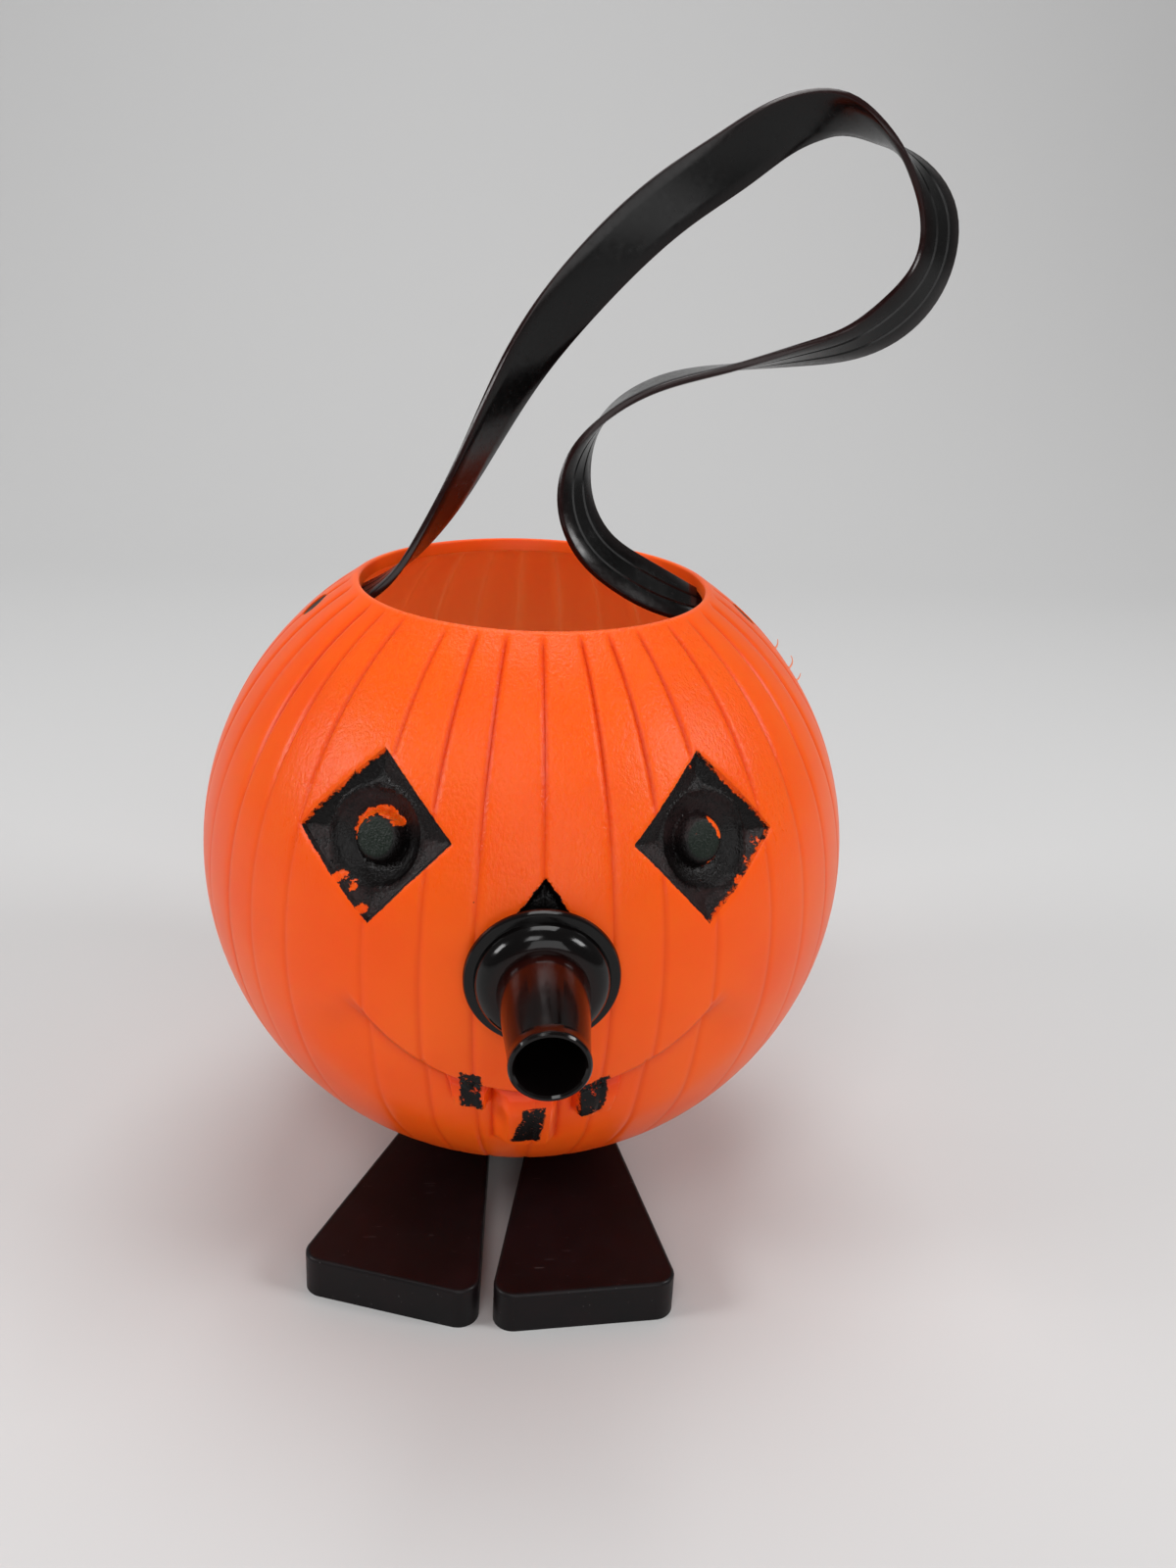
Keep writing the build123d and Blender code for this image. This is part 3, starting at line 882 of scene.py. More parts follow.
    def outer(self, rays: np.ndarray) -> np.ndarray:
        """Gives the outer wall's distance from the ball's centre along each ray, in millimetres.

        Args:
            rays: directions out of the ball's centre.

        Returns:
            Millimetres.
        """
        azimuth, elevation = angles(rays)
        calm = np.ones(len(rays))
        for eye in self.eyes:
            calm *= 1.0 - ramp(eye.outline.inset(rays), -2.0, -0.2)
        raised = self.ribs(azimuth, elevation) * calm + self.seams(azimuth, elevation)
        mouth = -self.smile(rays)
        below, _ = self.along_smile(rays)
        hang = np.clip((below - 0.7) / 0.6, 0.0, 1.0)
        for tooth in self.teeth:
            mouth += tooth.share(rays) * hang * (tooth.stand * ramp(below, 0.0, 4.5) - mouth)
            mouth -= self.tooth_crease * np.exp(-((tooth.outline.inset(rays) / 0.5) ** 2)) * hang
        raised += mouth - self.triangle_sink(rays)
        for eye in self.eyes:
            raised -= eye.depth(rays)
        return self.seat(rays, self.ball.radius + raised)

    def inner(self, rays: np.ndarray) -> np.ndarray:
        """Gives the inner wall's distance from the ball's centre along each ray, in millimetres.

        Args:
            rays: directions out of the ball's centre.

        Returns:
            Millimetres.
        """
        azimuth, elevation = angles(rays)
        raised = 0.35 * self.ribs(azimuth, elevation) - self.smile(rays)
        raised -= self.triangle_depth * ramp(self.triangle.inset(rays), -2.4, -0.6)
        for eye in self.eyes:
            raised -= eye.depth(rays, self.ball.wall + 0.6, False)
        return self.seat(rays, self.ball.radius + raised) - self.ball.wall

    def paint(self, rays: np.ndarray) -> np.ndarray:
        """Gives how far inside the painted places each ray is, in millimetres, negative outside.

        Args:
            rays: directions out of the ball's centre.

        Returns:
            Millimetres, held within 3 of the edge.
        """
        reach = 1.4 * self.triangle.inset(rays) + 0.2
        for eye in self.eyes:
            reach = np.maximum(reach, eye.paint(rays))
        for tooth in self.teeth:
            reach = np.maximum(reach, np.minimum(0.8 * tooth.patch.inset(rays), 0.5))
        return np.clip(reach, -3.0, 3.0)

    def painted_crease_shade(self, rays: np.ndarray) -> np.ndarray:
        """Gives the painted shade for each ray, from 0 to 1: in a groove, under the smile line and beside a
        tooth.

        Args:
            rays: directions out of the ball's centre.

        Returns:
            One number for each ray.
        """
        azimuth, elevation = angles(rays)
        below, swing = self.along_smile(rays)
        band = ramp(below, 0.0, 0.5) * (1.0 - ramp(below, 0.8, 4.5)) * self.smile_ends(swing)
        groove = np.clip(-self.ribs(azimuth, elevation) / 0.6, 0.0, 1.0)
        worked = np.maximum(0.9 * groove, 0.75 * band)
        for tooth in self.teeth:
            beside = np.exp(-((tooth.outline.inset(rays) / 0.6) ** 2)) * ramp(below, 0.4, 1.2)
            worked = np.maximum(worked, 0.8 * beside)
        return worked

    def wrinkles(self, rays: np.ndarray) -> np.ndarray:
        """Gives how wrinkled the skin is, most over the upper face, from 0 to 1."""
        azimuth, elevation = angles(rays)
        return ramp(elevation, 2.0, 24.0) * (1.0 - ramp(np.abs(azimuth), 42.0, 62.0))

    def pupils(self, rays: np.ndarray) -> np.ndarray:
        """Gives 1 on the pupils' flat tops, which get a painted sheen."""
        nearest = np.min([eye.polar(rays)[0] for eye in self.eyes], axis=0)
        return 1.0 - ramp(nearest, 3.7, 4.4)

    def wear(self, rays: np.ndarray) -> np.ndarray:
        """Gives how worn the paint is, from 0 to 1.

        Args:
            rays: directions out of the ball's centre.

        Returns:
            One number for each ray.
        """
        worn = np.zeros(len(rays))
        rubs = {-1: ((36.0, 184.0, 4.2, 7.0, 0.70), (95.0, 150.0, 3.2, 4.4, 0.56),
                     (-172.0, -158.0, 4.3, 4.6, 0.8), (-148.0, -140.0, 4.5, 4.9, 0.8),
                     (-112.0, -104.0, 4.4, 4.8, 0.8), (-88.0, -80.0, 4.3, 4.6, 0.8)),
                1: ((-8.0, 68.0, 3.5, 5.4, 0.66), (-88.0, -46.0, 4.6, 6.2, 0.54))}
        chips = {-1: ((-5.6, -9.8, 2.3, 0.58), (-3.0, -10.7, 1.9, 0.56), (0.4, -14.6, 1.8, 0.60),
                      (-13.4, 6.2, 1.6, 0.3)),
                 1: ((13.0, -2.8, 2.2, 0.45), (9.4, -6.4, 1.8, 0.4), (6.5, -10.0, 1.6, 0.4),
                     (-0.4, 15.6, 1.0, 0.6))}
        for eye in self.eyes:
            r, angle = eye.polar(rays)
            for low, high, near, far, amount in rubs[eye.side]:
                turn = ramp(angle, low - 8.0, low + 8.0) * (1.0 - ramp(angle, high - 8.0, high + 8.0))
                ring = ramp(r, near - 0.4, near + 0.4) * (1.0 - ramp(r, far - 0.7, far + 0.7))
                worn = np.maximum(worn, amount * turn * ring)
            u, v, ahead = eye.site.flat(rays)
            for cu, cv, size, amount in chips[eye.side]:
                close = np.where(ahead, np.hypot(u - cu, v - cv), 1e3)
                worn = np.maximum(worn, amount * (1.0 - ramp(close, 0.4 * size, size)))
        for tooth in self.teeth:
            inside = tooth.patch.inset(rays)
            worn = np.maximum(worn, np.where(inside > -1.0, 0.27, 0.0))
        return worn


@dataclass
class PumpkinShell:
    """The orange shell, spun from its wall section and worked by the relief."""

    relief: Relief = field(default_factory=Relief)
    finish: OrangeMoulding = field(default_factory=OrangeMoulding)
    front_half_angle: float = 57.0
    front_step: float = 0.75
    back_step: float = 2.0
    groove_columns: tuple[float, ...] = (-0.9, -0.36, 0.0, 0.36, 0.9)
    outer_steps: int = 98
    inner_steps: int = 34
    lip_height: float = 2.8
    lip_width: float = 1.1
    specks: tuple[tuple[float, float], ...] = ((-10.2, 14.2), (-10.6, 14.9))
    strap_hole_elevation: float = 49.4
    strap_hole_radius: float = 3.5
    tail_hole_radius: float = 7.3

    def section(self, bm: BMesh) -> list[BMEdge]:
        """Draws the closed wall section.

        Args:
            bm: an empty bmesh.

        Returns:
            The section's edges.
        """
        ball = self.relief.ball
        centre = Vector(ball.centre)
        for radius, base, top, rim, step, share, steps in (
            (ball.radius, ball.base_height, ball.rim_height - 1.0, ball.neck_radius, 0.55, 0.66,
             self.outer_steps),
            (ball.inner_radius, ball.base_height + ball.wall, ball.rim_height - self.lip_height - 0.5,
             ball.neck_radius - self.lip_width, -0.35, 0.15, self.inner_steps),
        ):
            low, high = (math.asin((height - centre.z) / radius) for height in (base, top))
            start = bm.verts.new((radius * math.cos(low), 0.0, base))
            arc = bmesh.ops.spin(bm, geom=[start], cent=centre, axis=(0.0, -1.0, 0.0), angle=high - low,
                                 steps=steps)
            foot = bm.verts.new((ball.post_hole_radius, 0.0, base))
            middle = bm.verts.new(((ball.post_hole_radius + start.co.x) / 2.0, 0.0, base))
            end = arc["geom_last"][0]
            lip = bm.verts.new((rim, 0.0, ball.rim_height))
            under = bm.verts.new((rim + step, 0.0, end.co.z + (lip.co.z - end.co.z) * share))
            for pair in ((foot, middle), (middle, start), (end, under), (under, lip)):
                bm.edges.new(pair)
        bm.verts.ensure_lookup_table()
        feet = [v for v in bm.verts if abs(v.co.x - ball.post_hole_radius) < 1e-4]
        lips = [v for v in bm.verts if abs(v.co.z - ball.rim_height) < 1e-4]
        bm.edges.new(feet)
        bm.edges.new(lips)
        bmesh.ops.bevel(bm, geom=lips, offset=0.45, offset_type="OFFSET", affect="VERTICES", segments=4,
                        profile=0.5, material=-1)
        return list(bm.edges)

    def columns(self) -> list[float]:
        """Lists the azimuths of the spun columns, close beside each rib groove and wider between.

        Returns:
            Degrees, from -180 to 180.
        """
        marks = {-180.0, 180.0}
        for place, _ in self.relief.grooves():
            turn = (place + 180.0) % 360.0 - 180.0
            marks.update(turn + beside for beside in self.groove_columns if abs(turn + beside) < 180.0)
        listed = sorted(marks)
        filled = []
        for low, high in zip(listed, listed[1:]):
            in_front = abs(low + high) / 2.0 < self.front_half_angle
            count = math.ceil((high - low) / (self.front_step if in_front else self.back_step))
            filled += [low + (high - low) * i / count for i in range(count)]
        return filled + [180.0]

    def spun(self) -> BMesh:
        """Spins the section round, column by column.

        Returns:
            The plain ball with its two walls.
        """
        bm = bmesh.new()
        edges = self.section(bm)
        columns = self.columns()
        turn = Matrix.Rotation(math.radians(columns[0] - 90.0), 3, "Z")
        bmesh.ops.rotate(bm, cent=(0.0, 0.0, 0.0), matrix=turn, verts=bm.verts)
        geom = list(bm.verts) + edges
        for low, high in zip(columns, columns[1:]):
            made = bmesh.ops.spin(bm, geom=geom, cent=(0.0, 0.0, 0.0), axis=(0.0, 0.0, 1.0),
                                  angle=math.radians(high - low), steps=1)
            geom = made["geom_last"]
        bmesh.ops.remove_doubles(bm, verts=bm.verts, dist=0.004)
        bmesh.ops.recalc_face_normals(bm, faces=bm.faces)
        return bm

    def faces_near(self, bm: BMesh, near: Callable[[np.ndarray], np.ndarray],
                   wall: Wall) -> list[BMFace]:
        """Lists the faces of one wall in a region.

        Args:
            bm: the shell.
            near: tells for each direction out of the ball whether it is in the region.
            wall: which wall.

        Returns:
            The faces.
        """
        faces = list(bm.faces)
        ball = self.relief.ball
        middles = np.array([f.calc_center_median() for f in faces]) - ball.centre
        away = np.linalg.norm(middles, axis=1)
        outside = away > ball.radius - ball.wall / 2.0
        body = away > ball.inner_radius - ball.wall
        wanted = near(middles / away[:, None]) & body & (outside if wall is Wall.OUTER else ~outside)
        return [faces[i] for i in np.flatnonzero(wanted)]

    def refine(self, bm: BMesh, near: Callable[[np.ndarray], np.ndarray], wall: Wall,
               cuts: int) -> None:
        """Subdivides one wall in a region."""
        edges = list({e for f in self.faces_near(bm, near, wall) for e in f.edges})
        bmesh.ops.subdivide_edges(bm, edges=edges, cuts=cuts, use_grid_fill=True)

    def score(self, bm: BMesh, outline: Outline, shift: float) -> None:
        """Cuts the outer wall along an outline's sides.

        Args:
            bm: the shell.
            outline: the outline on the ball.
            shift: millimetres inside the outline.
        """
        centre = self.relief.ball.centre
        middle = np.mean(outline.rays(), axis=0)
        for first, second in outline.sides():
            normal = np.cross(first, second)
            normal /= np.linalg.norm(normal)
            normal *= 1.0 if normal @ middle > 0 else -1.0
            tipped = normal - middle / np.linalg.norm(middle) * (shift / self.relief.ball.radius)
            faces = self.faces_near(bm, lambda rays: outline.inset(rays) > -1.0, Wall.OUTER)
            chosen = []
            for f in faces:
                spot = np.array(f.calc_center_median()) - centre
                if abs(spot @ tipped) < 2.0:
                    chosen.append(f)
            geom = list({x for f in chosen for x in (f, *f.edges, *f.verts)})
            bmesh.ops.bisect_plane(bm, geom=geom, dist=0.01, plane_co=centre, plane_no=tipped)

    def drill(self, bm: BMesh, place: np.ndarray, axis: np.ndarray, radius: float) -> None:
        """Cuts a round hole through both walls.

        Args:
            bm: the shell.
            place: a point on the hole's axis, in millimetres.
            axis: the hole's direction, out of the ball.
            radius: the hole's radius.
        """
        way, spot = Vector(axis), Vector(place)

        def off(point: Vector) -> float:
            """Distance of a point from the hole's axis, far where it is on the other side.

            Args:
                point: the point.

            Returns:
                Millimetres.
            """
            apart = point - spot
            along = apart.dot(way)
            return (apart - way * along).length if abs(along) < 14.0 else 1e3

        near = [f for f in bm.faces if off(f.calc_center_median()) < radius + 1.5]
        edges = list({e for f in near for e in f.edges})
        bmesh.ops.subdivide_edges(bm, edges=edges, cuts=2, use_grid_fill=True)
        inside = [f for f in bm.faces if off(f.calc_center_median()) < radius]
        bmesh.ops.delete(bm, geom=inside, context="FACES")
        rim = [e for e in bm.edges if e.is_boundary]
        for v in {v for e in rim for v in e.verts}:
            apart = v.co - spot
            along = way * apart.dot(way)
            v.co = spot + along + (apart - along).normalized() * radius
        bmesh.ops.bridge_loops(bm, edges=rim)

    def build(self) -> Piece:
        """Builds, shapes and dresses the shell.

        Returns:
            The shell.
        """
        relief, ball = self.relief, self.relief.ball
        bm = self.spun()
        for eye in relief.eyes:
            edge = eye.outline
            self.refine(bm, lambda rays: edge.inset(rays) > -2.0, Wall.OUTER, 2)
            self.refine(bm, lambda rays: edge.inset(rays) > -2.5, Wall.INNER, 1)
            self.score(bm, edge, 0.0)
            self.score(bm, edge, eye.lip_width)
        mouth = Outline(Site(0.0, -23.0), ((-18.0, -12.0), (18.0, -12.0), (16.0, -36.5), (-16.0, -36.5)))
        self.refine(bm, lambda rays: mouth.inset(rays) > 0.0, Wall.OUTER, 1)
        self.refine(bm, relief.beside_smile, Wall.OUTER, 3)
        self.refine(bm, lambda rays: relief.triangle.inset(rays) > -1.0, Wall.OUTER, 1)
        marks = bm.verts.layers.float.new("inner")
        for v in bm.verts:
            away = (v.co - Vector(ball.centre)).length
            v[marks] = 0.0 if away > ball.radius - ball.wall / 2.0 else 1.0
        self.shape(bm, marks)
        for v in bm.verts:
            if v.co.z > ball.rim_height - self.lip_height - 0.2:
                v[marks] = 0.0
        for side in (-1, 1):
            out = ray(90.0 * side, self.strap_hole_elevation)
            self.drill(bm, ball.centre + out * ball.radius, out, self.strap_hole_radius)
        nose = ball.centre + ray(0.0, relief.nose_elevation) * ball.radius
        self.drill(bm, nose, ray(0.0, relief.nose_dip), self.tail_hole_radius)
        bmesh.ops.recalc_face_normals(bm, faces=bm.faces)
        piece = new_piece("shell_moulding", bm, 38.0)
        rays = points_of(piece) - ball.centre
        rays /= np.linalg.norm(rays, axis=1)[:, None]
        inner = np.zeros(len(rays), np.float32)
        piece.data.attributes["inner"].data.foreach_get("value", inner)
        values = {
            "paint_reach": np.where(inner > 0.5, -3.0, relief.paint(rays)),
            "paint_wear": relief.wear(rays),
            # Painted sheen on the pupils' tops.
            "pupil": relief.pupils(rays),
            # Paler eye paint: partly dusted, partly painted light.
            "dust_and_light": sum(eye.dust_and_light(rays) for eye in relief.eyes),
            # Painted shade for the grooves, the smile and the teeth.
            "crease": relief.painted_crease_shade(rays),
            "wrinkle": relief.wrinkles(rays),
        }
        for name, numbers in values.items():
            set_attribute(piece, name, numbers)
        specks = [(ball.centre + ray(a, e) * ball.radius) * MM for a, e in self.specks]
        piece.data.materials.append(self.finish.material(specks))
        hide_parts("pumpkin_shell")
        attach(piece, "pail")
        return piece

    def shape(self, bm: BMesh, marks: bmesh.types.BMLayerItem) -> None:
        """Moves both walls of the ball in or out by the relief.

        Args:
            bm: the shell.
            marks: the layer that is 1 on the inner wall.
        """
        ball = self.relief.ball
        verts = list(bm.verts)
        spots = np.array([v.co for v in verts]) - ball.centre
        away = np.linalg.norm(spots, axis=1)
        rays = spots / away[:, None]
        inner = np.array([v[marks] for v in verts]) > 0.5
        height = spots[:, 2] + ball.centre_height
        on_outer = ~inner & (height > ball.base_height + 0.05) & (height < ball.rim_height - 0.9)
        on_inner = inner & (np.abs(away - ball.inner_radius) < 0.12)
        on_inner &= height > ball.base_height + ball.wall + 0.05
        reach = away.copy()
        reach[on_outer] += self.relief.outer(rays[on_outer]) - ball.radius
        reach[on_inner] = self.relief.inner(rays[on_inner])
        moved = rays * reach[:, None] + ball.centre
        for v, spot in zip(verts, moved):
            v.co = spot


@dataclass
class SeamBurrs:
    """Thin pale curls of flash that stand off the right side's parting line."""

    ball: Ball = field(default_factory=Ball)
    finish: PaleFlash = field(default_factory=PaleFlash)
    curls: tuple[Triple, ...] = ((89.0, 41.0, 70.0), (89.0, 36.4, 95.0), (89.0, 33.6, 60.0))
    thickness: float = 0.30
    bend: float = 2.2
    taper: float = 0.87
    steps: int = 9

    def build(self) -> Piece:
        """Builds and dresses the curls as one piece.

        Returns:
            The curls.
        """
        bm = bmesh.new()
        for azimuth, elevation, sweep in self.curls:
            out, up = Vector(ray(azimuth, elevation)), Vector(ray(azimuth, elevation + 90.0))
            across = out.cross(up)
            root = Vector(self.ball.centre) + out * (self.ball.radius - 0.5)
            place = Matrix((up, across, out)).transposed().to_4x4()
            place.translation = root
            made = bmesh.ops.create_circle(bm, cap_ends=True, segments=8, radius=self.thickness,
                                           matrix=place)
            geom = [*made["verts"], *{e for v in made["verts"] for e in v.link_edges},
                    *{f for v in made["verts"] for f in v.link_faces}]
            for _ in range(self.steps):
                turned = bmesh.ops.spin(bm, geom=geom, cent=root + up * self.bend, axis=across,
                                        angle=math.radians(sweep / self.steps), steps=1)
                geom = turned["geom_last"]
                ring = [g for g in geom if isinstance(g, BMVert)]
                middle = sum((v.co for v in ring), Vector()) / len(ring)
                bmesh.ops.scale(bm, vec=(self.taper,) * 3, space=Matrix.Translation(-middle), verts=ring)
        bmesh.ops.recalc_face_normals(bm, faces=bm.faces)
        piece = new_piece("seam_burrs", bm, 50.0)
        piece.data.materials.append(self.finish.material())
        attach(piece, "pail")
        return piece


# The horn nose


@dataclass
class NoseHorn:
    """The push-in horn: flange, domed collar and hollow barrel, spun about one axis."""

    relief: Relief = field(default_factory=Relief)
    finish: GlossBlack = field(default_factory=GlossBlack)
    steps: int = 96

    def section(self) -> list[tuple[float, float]]:
        """Lists the wall section as radius and height above the seat.

        Returns:
            Pairs of millimetres, round the section.
        """
        turns = np.radians(range(0, 100, 9))
        dome = [(13.4 - 4.3 * (1.0 - math.cos(t)), 1.9 + 4.5 * math.sin(t)) for t in turns]
        return [
            (6.2, -11.0), (6.7, -11.0), (7.2, -10.5), (7.2, 0.0), (15.0, 0.0), (15.4, 0.35), (15.4, 1.3),
            (15.15, 1.75), (14.7, 1.9), (13.7, 1.85), *dome, (9.2, 6.3), (9.15, 6.1), (9.05, 6.4),
            (8.95, 7.6), (8.55, 13.0), (8.05, 19.0), (7.55, 25.6), (7.5, 27.4), (7.65, 27.9), (7.6, 28.5),
            (7.3, 28.9), (6.8, 28.9), (6.45, 28.5), (6.3, 27.5), (6.2, 24.0), (6.2, 6.0), (6.2, -5.0),
        ]

    def build(self) -> Piece:
        """Builds and dresses the horn.

        Returns:
            The horn.
        """
        bm = bmesh.new()
        spots = [bm.verts.new((r, 0.0, h)) for r, h in self.section()]
        edges = [bm.edges.new(pair) for pair in zip(spots, spots[1:] + spots[:1])]
        bmesh.ops.spin(bm, geom=spots + edges, cent=(0.0, 0.0, 0.0), axis=(0.0, 0.0, 1.0), angle=math.tau,
                       steps=self.steps, use_merge=True)
        bmesh.ops.recalc_face_normals(bm, faces=bm.faces)
        ball = self.relief.ball
        out = Vector(ray(0.0, self.relief.nose_dip))
        across = Vector((1.0, 0.0, 0.0))
        up = out.cross(across)
        seat = Vector(ball.centre + ray(0.0, self.relief.nose_elevation) * ball.radius)
        place = Matrix((across, up, out)).transposed().to_4x4()
        place.translation = seat
        bmesh.ops.transform(bm, matrix=place, verts=bm.verts)
        piece = new_piece("horn_moulding", bm, 30.0)
        heights = (points_of(piece) - np.array(seat)) @ np.array(out)
        # Painted light: a red glow on the barrel's foot, fading towards the tip, and on the flange's back
        # edge.
        barrel = ramp(heights, 5.8, 7.0) * (1.0 - 0.95 * ramp(heights, 9.0, 22.0))
        set_attribute(piece, "red_glow", barrel + 0.5 * (1.0 - ramp(heights, 0.9, 1.5)))
        piece.data.materials.append(self.finish.material())
        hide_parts("nose_horn")
        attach(piece, "pail")
        return piece


# The strap handle


@dataclass
class StrapHandle:
    """The flexible strap: one grooved strip from eyelet to eyelet, bent over to the right."""

    ball: Ball = field(default_factory=Ball)
    finish: StrapVinyl = field(default_factory=StrapVinyl)
    width: float = 12.7
    thickness: float = 1.6
    rise: float = 102.0
    hinge_reach: float = 13.4
    eyelet_gap: float = 0.7
    hole_elevation: float = 49.4
    left_slope: float = 29.0
    right_slope: float = 22.0
    along_steps: int = 320
    route_shares: tuple[Triple, ...] = (
        (-0.250, 0.028, 0.093), (-0.196, 0.045, 0.170), (-0.120, 0.067, 0.306), (-0.025, 0.080, 0.483),
        (0.140, 0.080, 0.697), (0.274, 0.079, 0.821), (0.393, 0.080, 0.905), (0.506, 0.083, 0.977),
        (0.605, 0.086, 0.995), (0.700, 0.087, 0.958), (0.788, 0.087, 0.891), (0.836, 0.086, 0.816),
        (0.834, 0.086, 0.697), (0.775, 0.087, 0.611), (0.681, 0.091, 0.549), (0.584, 0.095, 0.521),
        (0.414, 0.101, 0.483), (0.281, 0.101, 0.450), (0.152, 0.090, 0.371), (0.096, 0.068, 0.275),
        (0.094, 0.040, 0.178), (0.138, 0.014, 0.098), (0.215, -0.004, 0.043),
    )
    edge_shares: tuple[Triple, ...] = (
        (0.12, 0.90, -0.30), (0.29, 0.87, -0.36), (0.50, 0.80, -0.36), (0.66, 0.55, -0.50),
        (0.70, 0.08, -0.71), (0.61, 0.02, -0.79), (0.57, 0.20, -0.79), (0.41, 0.50, -0.75),
        (0.36, 0.74, -0.58), (0.32, 0.90, -0.26), (0.48, 0.82, 0.22), (0.72, 0.64, 0.24),
        (0.79, 0.56, -0.22), (0.70, 0.52, -0.50), (0.47, 0.72, -0.52), (0.29, 0.87, -0.40),
        (0.18, 0.98, -0.08), (0.08, 1.00, 0.02), (0.14, 0.98, -0.06), (0.48, 0.87, -0.04),
        (0.62, 0.78, 0.10), (0.63, 0.73, 0.25), (0.58, 0.72, 0.38), (0.30, 0.88, 0.36),
    )

    def eyelet(self, side: int) -> tuple[np.ndarray, np.ndarray]:
        """Gives an eyelet's middle and the way up the inner wall from it.

        Args:
            side: -1 on the left and 1 on the right.

        Returns:
            A point in millimetres and a unit vector.
        """
        out = ray(90.0 * side, self.hole_elevation)
        reach = self.ball.inner_radius - self.eyelet_gap - self.thickness / 2.0
        return self.ball.centre + out * reach, ray(90.0 * side, self.hole_elevation + 90.0)

    def hinge(self, side: int) -> np.ndarray:
        """Gives the point where the strap leaves its eyelet.

        Args:
            side: -1 on the left and 1 on the right.

        Returns:
            The point, in millimetres.
        """
        slope = math.radians(self.left_slope if side < 0 else self.right_slope)
        way = np.array([-side * math.cos(slope), 0.0, math.sin(slope)])
        return self.eyelet(side)[0] + way * self.hinge_reach

    def route(self) -> tuple[np.ndarray, np.ndarray]:
        """Gives the strap's middle line and its ways across, at a few places from end to end.

        Returns:
            Two arrays with a row for each place.
        """
        left, left_up = self.eyelet(-1)
        right, right_up = self.eyelet(1)
        first, last = self.hinge(-1), self.hinge(1)
        half = self.width / 2.0
        shares = np.array(self.route_shares) * self.rise
        shares[:, 2] += first[2]
        spots = np.vstack([left - left_up * half, left, first, shares, last, right,
                           right - right_up * half])
        level = [(0.0, 1.0, 0.0)]
        across = np.array(level * 3 + list(self.edge_shares) + level * 2)
        return spots, across

    @staticmethod
    def through(knots: np.ndarray, values: np.ndarray, places: np.ndarray) -> np.ndarray:
        """Draws a smooth curve through values.

        Args:
            knots: distance of each value along the strap.
            values: one row for each knot.
            places: distances at which the curve is wanted.

        Returns:
            One row for each place.
        """
        count = len(knots)
        gaps = np.diff(knots)
        system = np.eye(count)
        right = np.zeros_like(values)
        for i in range(1, count - 1):
            system[i, i - 1 : i + 2] = gaps[i - 1], 2.0 * (gaps[i - 1] + gaps[i]), gaps[i]
            before, after = np.diff(values[i - 1 : i + 2], axis=0) / gaps[i - 1 : i + 1, None]
            right[i] = 6.0 * (after - before)
        bends = np.linalg.solve(system, right)
        i = np.clip(np.searchsorted(knots, places, side="right") - 1, 0, count - 2)
        h = gaps[i][:, None]
        a = (knots[i + 1] - places)[:, None] / h
        b = 1.0 - a
        cubic = ((a**3 - a) * bends[i] + (b**3 - b) * bends[i + 1]) * h**2 / 6.0
        return a * values[i] + b * values[i + 1] + cubic

    def section(self) -> list[Triple]:
        """Lists the strip's section: place across, place through, and the share of painted red glow, 1 on
        its narrow edges.

        Returns:
            A row for each corner.
        """
        half, thick = self.width / 2.0, self.thickness / 2.0
        groove, deep, lip = self.width / 6.0, 0.32, 0.42
        plain = [(-half + 0.5, thick, 0.2), (-3.6, thick, 0.0), (-1.2, thick, 0.0), (1.2, thick, 0.0),
                 (3.6, thick, 0.0), (half - 0.5, thick, 0.2)]
        edge = [(half - 0.12, thick - 0.2, 1.0), (half, 0.0, 1.0), (half - 0.12, 0.2 - thick, 1.0)]
        grooved = [(half - 0.5, -thick, 0.3)]
        for place in (groove, -groove):
            grooved += [(place + lip + 0.25, -thick, 0.0), (place + lip, -thick, 0.0),
                        (place + 0.12, deep - thick, 0.0), (place - 0.12, deep - thick, 0.0),
                        (place - lip, -thick, 0.0), (place - lip - 0.25, -thick, 0.0)]
        grooved += [(0.5 - half, -thick, 0.3)]
        return plain + edge + grooved + [(-x, -y, red) for x, y, red in edge]

    def build(self) -> Piece:
        """Builds and dresses the strap.

        Returns:
            The strap.
        """
        spots, across = self.route()
        knots = np.concatenate([[0.0], np.cumsum(np.linalg.norm(np.diff(spots, axis=0), axis=1))])
        section = self.section()
        rounds, steps = len(section), self.along_steps
        bm = bmesh.new()
        bmesh.ops.create_grid(bm, x_segments=steps, y_segments=rounds, size=1.0)
        rows = np.array([(v.co.x, v.co.y) for v in bm.verts])
        share = (rows[:, 0] + 1.0) / 2.0
        around = np.rint((rows[:, 1] + 1.0) / 2.0 * rounds).astype(int) % rounds
        length = knots[-1]
        places = length * (share - 0.06 * np.sin(math.tau * share) / math.tau * 8.0)
        middle = self.through(knots, spots, places)
        ahead = self.through(knots, spots, np.minimum(places + 0.05, length))
        behind = self.through(knots, spots, np.maximum(places - 0.05, 0.0))
        way = ahead - behind
        way /= np.linalg.norm(way, axis=1)[:, None]
        edge = self.through(knots, across, places)
        edge -= way * np.sum(edge * way, axis=1)[:, None]
        edge /= np.linalg.norm(edge, axis=1)[:, None]
        normal = np.cross(edge, way)
        half = self.width / 2.0
        end = np.minimum(places, length - places)
        narrow = np.sqrt(np.clip(1.0 - (1.0 - np.clip(end / half, 0.02, 1.0)) ** 2, 0.0, 1.0))
        profile = np.array(section)[around]
        moved = middle + edge * (profile[:, 0] * narrow)[:, None] + normal * profile[:, 1][:, None]
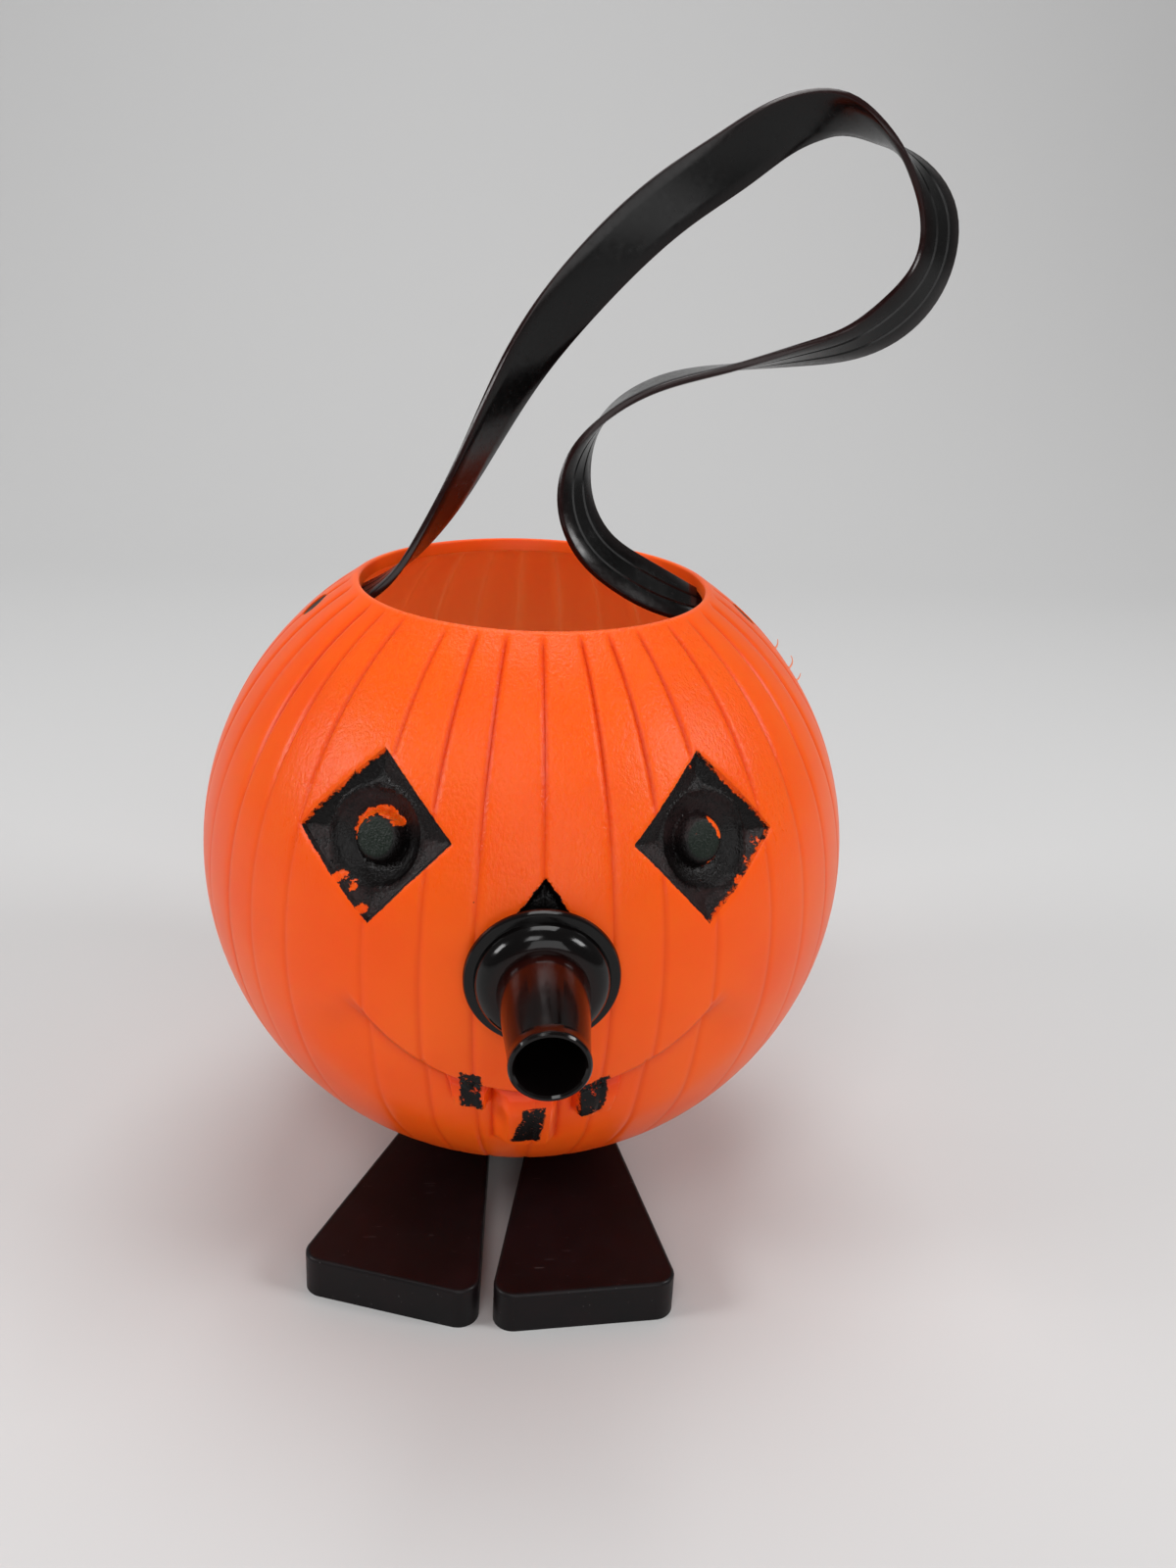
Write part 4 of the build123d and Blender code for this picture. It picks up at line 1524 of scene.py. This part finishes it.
        # Marks where the painted red glow goes on the edges.
        marks = bm.verts.layers.float.new("edge")
        for v, spot, red in zip(bm.verts, moved, profile[:, 2]):
            v.co = spot
            v[marks] = red
        bmesh.ops.remove_doubles(bm, verts=bm.verts, dist=0.002)
        bmesh.ops.holes_fill(bm, edges=[e for e in bm.edges if e.is_boundary], sides=0)
        bmesh.ops.recalc_face_normals(bm, faces=bm.faces)
        piece = new_piece("strap_strip", bm, 40.0)
        piece.data.materials.append(self.finish.material())
        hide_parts("handle_strap", "strap_end_left", "strap_end_right")
        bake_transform(piece)
        return piece


# Small pieces that keep their solids


@dataclass
class PlainNodes:
    """The pieces whose solids are shown as they are, with their finishes."""

    satin: SatinBlack = field(default_factory=SatinBlack)
    gloss: GlossBlack = field(default_factory=GlossBlack)
    reed: ReedSheet = field(default_factory=ReedSheet)

    def dress(self) -> list[Piece]:
        """Gives each shown solid its finish.

        Returns:
            The dressed solids.
        """
        satin, gloss, reed = self.satin.material(), self.gloss.material(), self.reed.material()
        finishes = {
            "foot_stand": (satin, Slot.SATIN), "strap_button_left": (satin, Slot.SATIN),
            "strap_button_right": (satin, Slot.SATIN), "reed_plug": (gloss, Slot.GLOSS),
            "reed_tongue": (reed, Slot.REED),
        }
        dressed = []
        for name, (material, slot) in finishes.items():
            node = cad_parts[name]
            node.data.materials.clear()
            node.data.materials.append(material)
            dressed.append(node)
        return dressed


# Studio


@dataclass
class Studio:
    """Pale floor with a curved backdrop, soft lamps and the photograph's camera."""

    finish: PaleFloor = field(default_factory=PaleFloor)
    camera_place: Triple = (-0.0186, -0.3236, 0.2345)
    pitch: float = 22.8
    yaw: float = 5.9
    roll: float = 2.96
    lens: float = 33.75
    lamp_aim: float = 0.09
    lamp_distance: float = 1.15
    sky: float = 0.18
    lamps: tuple[tuple[str, float, float, float, float], ...] = (
        ("left_lamp", -78.0, 26.0, 0.32, 4.9), ("front_lamp", -18.0, 50.0, 0.34, 2.4),
        ("fill_lamp", 6.0, 20.0, 0.70, 3.5), ("right_lamp", 70.0, 36.0, 0.32, 5.0),
        ("top_lamp", 170.0, 72.0, 0.70, 7.6),
    )

    def floor(self) -> None:
        """Builds the floor and backdrop as one swept sheet."""
        bm = bmesh.new()
        start, bend = (bm.verts.new((-1600.0, y, 0.0)) for y in (-1400.0, 550.0))
        bm.edges.new((start, bend))
        bmesh.ops.spin(bm, geom=[bend], cent=(-1600.0, 550.0, 500.0), axis=(1.0, 0.0, 0.0),
                       angle=math.radians(90.0), steps=24)
        top = max(bm.verts, key=lambda v: v.co.z)
        wall = bm.verts.new((-1600.0, top.co.y, 2200.0))
        bm.edges.new((top, wall))
        made = bmesh.ops.extrude_edge_only(bm, edges=bm.edges[:])
        new = [g for g in made["geom"] if isinstance(g, BMVert)]
        bmesh.ops.translate(bm, vec=(3200.0, 0.0, 0.0), verts=new)
        bmesh.ops.recalc_face_normals(bm, faces=bm.faces)
        sheet = new_piece("studio_floor", bm, 60.0)
        sheet.data.materials.append(self.finish.material())

    def lamp(self, name: str, azimuth: float, elevation: float, size: float, power: float) -> None:
        """Hangs one soft square lamp that faces the pail.

        Args:
            name: the lamp's name.
            azimuth: degrees from the pail's front, towards the viewer's right.
            elevation: degrees above the pail's middle.
            size: its side, in metres.
            power: watts.
        """
        data = bpy.data.lights.new(name, "AREA")
        data.shape, data.size, data.energy = "SQUARE", size, power
        made = bpy.data.objects.new(name, data)
        middle = Vector((0.0, 0.0, self.lamp_aim))
        way = Vector(ray(azimuth, elevation))
        made.location = middle + way * self.lamp_distance
        made.rotation_euler = (-way).to_track_quat("-Z", "Y").to_euler()
        bpy.context.scene.collection.objects.link(made)

    def light(self) -> None:
        """Hangs the lamps and sets the soft light all round."""
        for lamp in self.lamps:
            self.lamp(*lamp)
        world = bpy.data.worlds.new("soft_world")
        world.use_nodes = True
        back = world.node_tree.nodes["Background"]
        back.inputs["Color"].default_value = (1.0, 1.0, 1.0, 1.0)
        back.inputs["Strength"].default_value = self.sky
        bpy.context.scene.world = world

    def camera(self) -> None:
        """Sets the camera as the photograph was taken."""
        data = bpy.data.cameras.new("photo_camera")
        data.sensor_fit, data.sensor_width, data.lens = "AUTO", 36.0, self.lens
        data.clip_start = 0.01
        made = bpy.data.objects.new("photo_camera", data)
        turn = Matrix.Rotation(math.radians(-self.yaw), 4, "Z")
        turn = turn @ Matrix.Rotation(math.radians(90.0 - self.pitch), 4, "X")
        turn = turn @ Matrix.Rotation(math.radians(self.roll), 4, "Z")
        made.matrix_world = Matrix.Translation(self.camera_place) @ turn
        bpy.context.scene.collection.objects.link(made)
        bpy.context.scene.camera = made

    def build(self) -> None:
        """Sets up floor, lamps, camera and plain colours."""
        self.floor()
        self.light()
        self.camera()
        bpy.context.scene.view_settings.view_transform = "Standard"


def main() -> None:
    """Builds every sub-assembly in order and reports each piece."""
    logging.basicConfig(level=logging.INFO, format="%(name)s: %(message)s")
    Studio().build()
    made = [part.build() for part in (PumpkinShell(), SeamBurrs(), NoseHorn(), StrapHandle())]
    made += PlainNodes().dress()
    for piece in made:
        log.info("%s: %d faces", piece.name, len(piece.data.polygons))


if __name__ == "__main__":
    main()
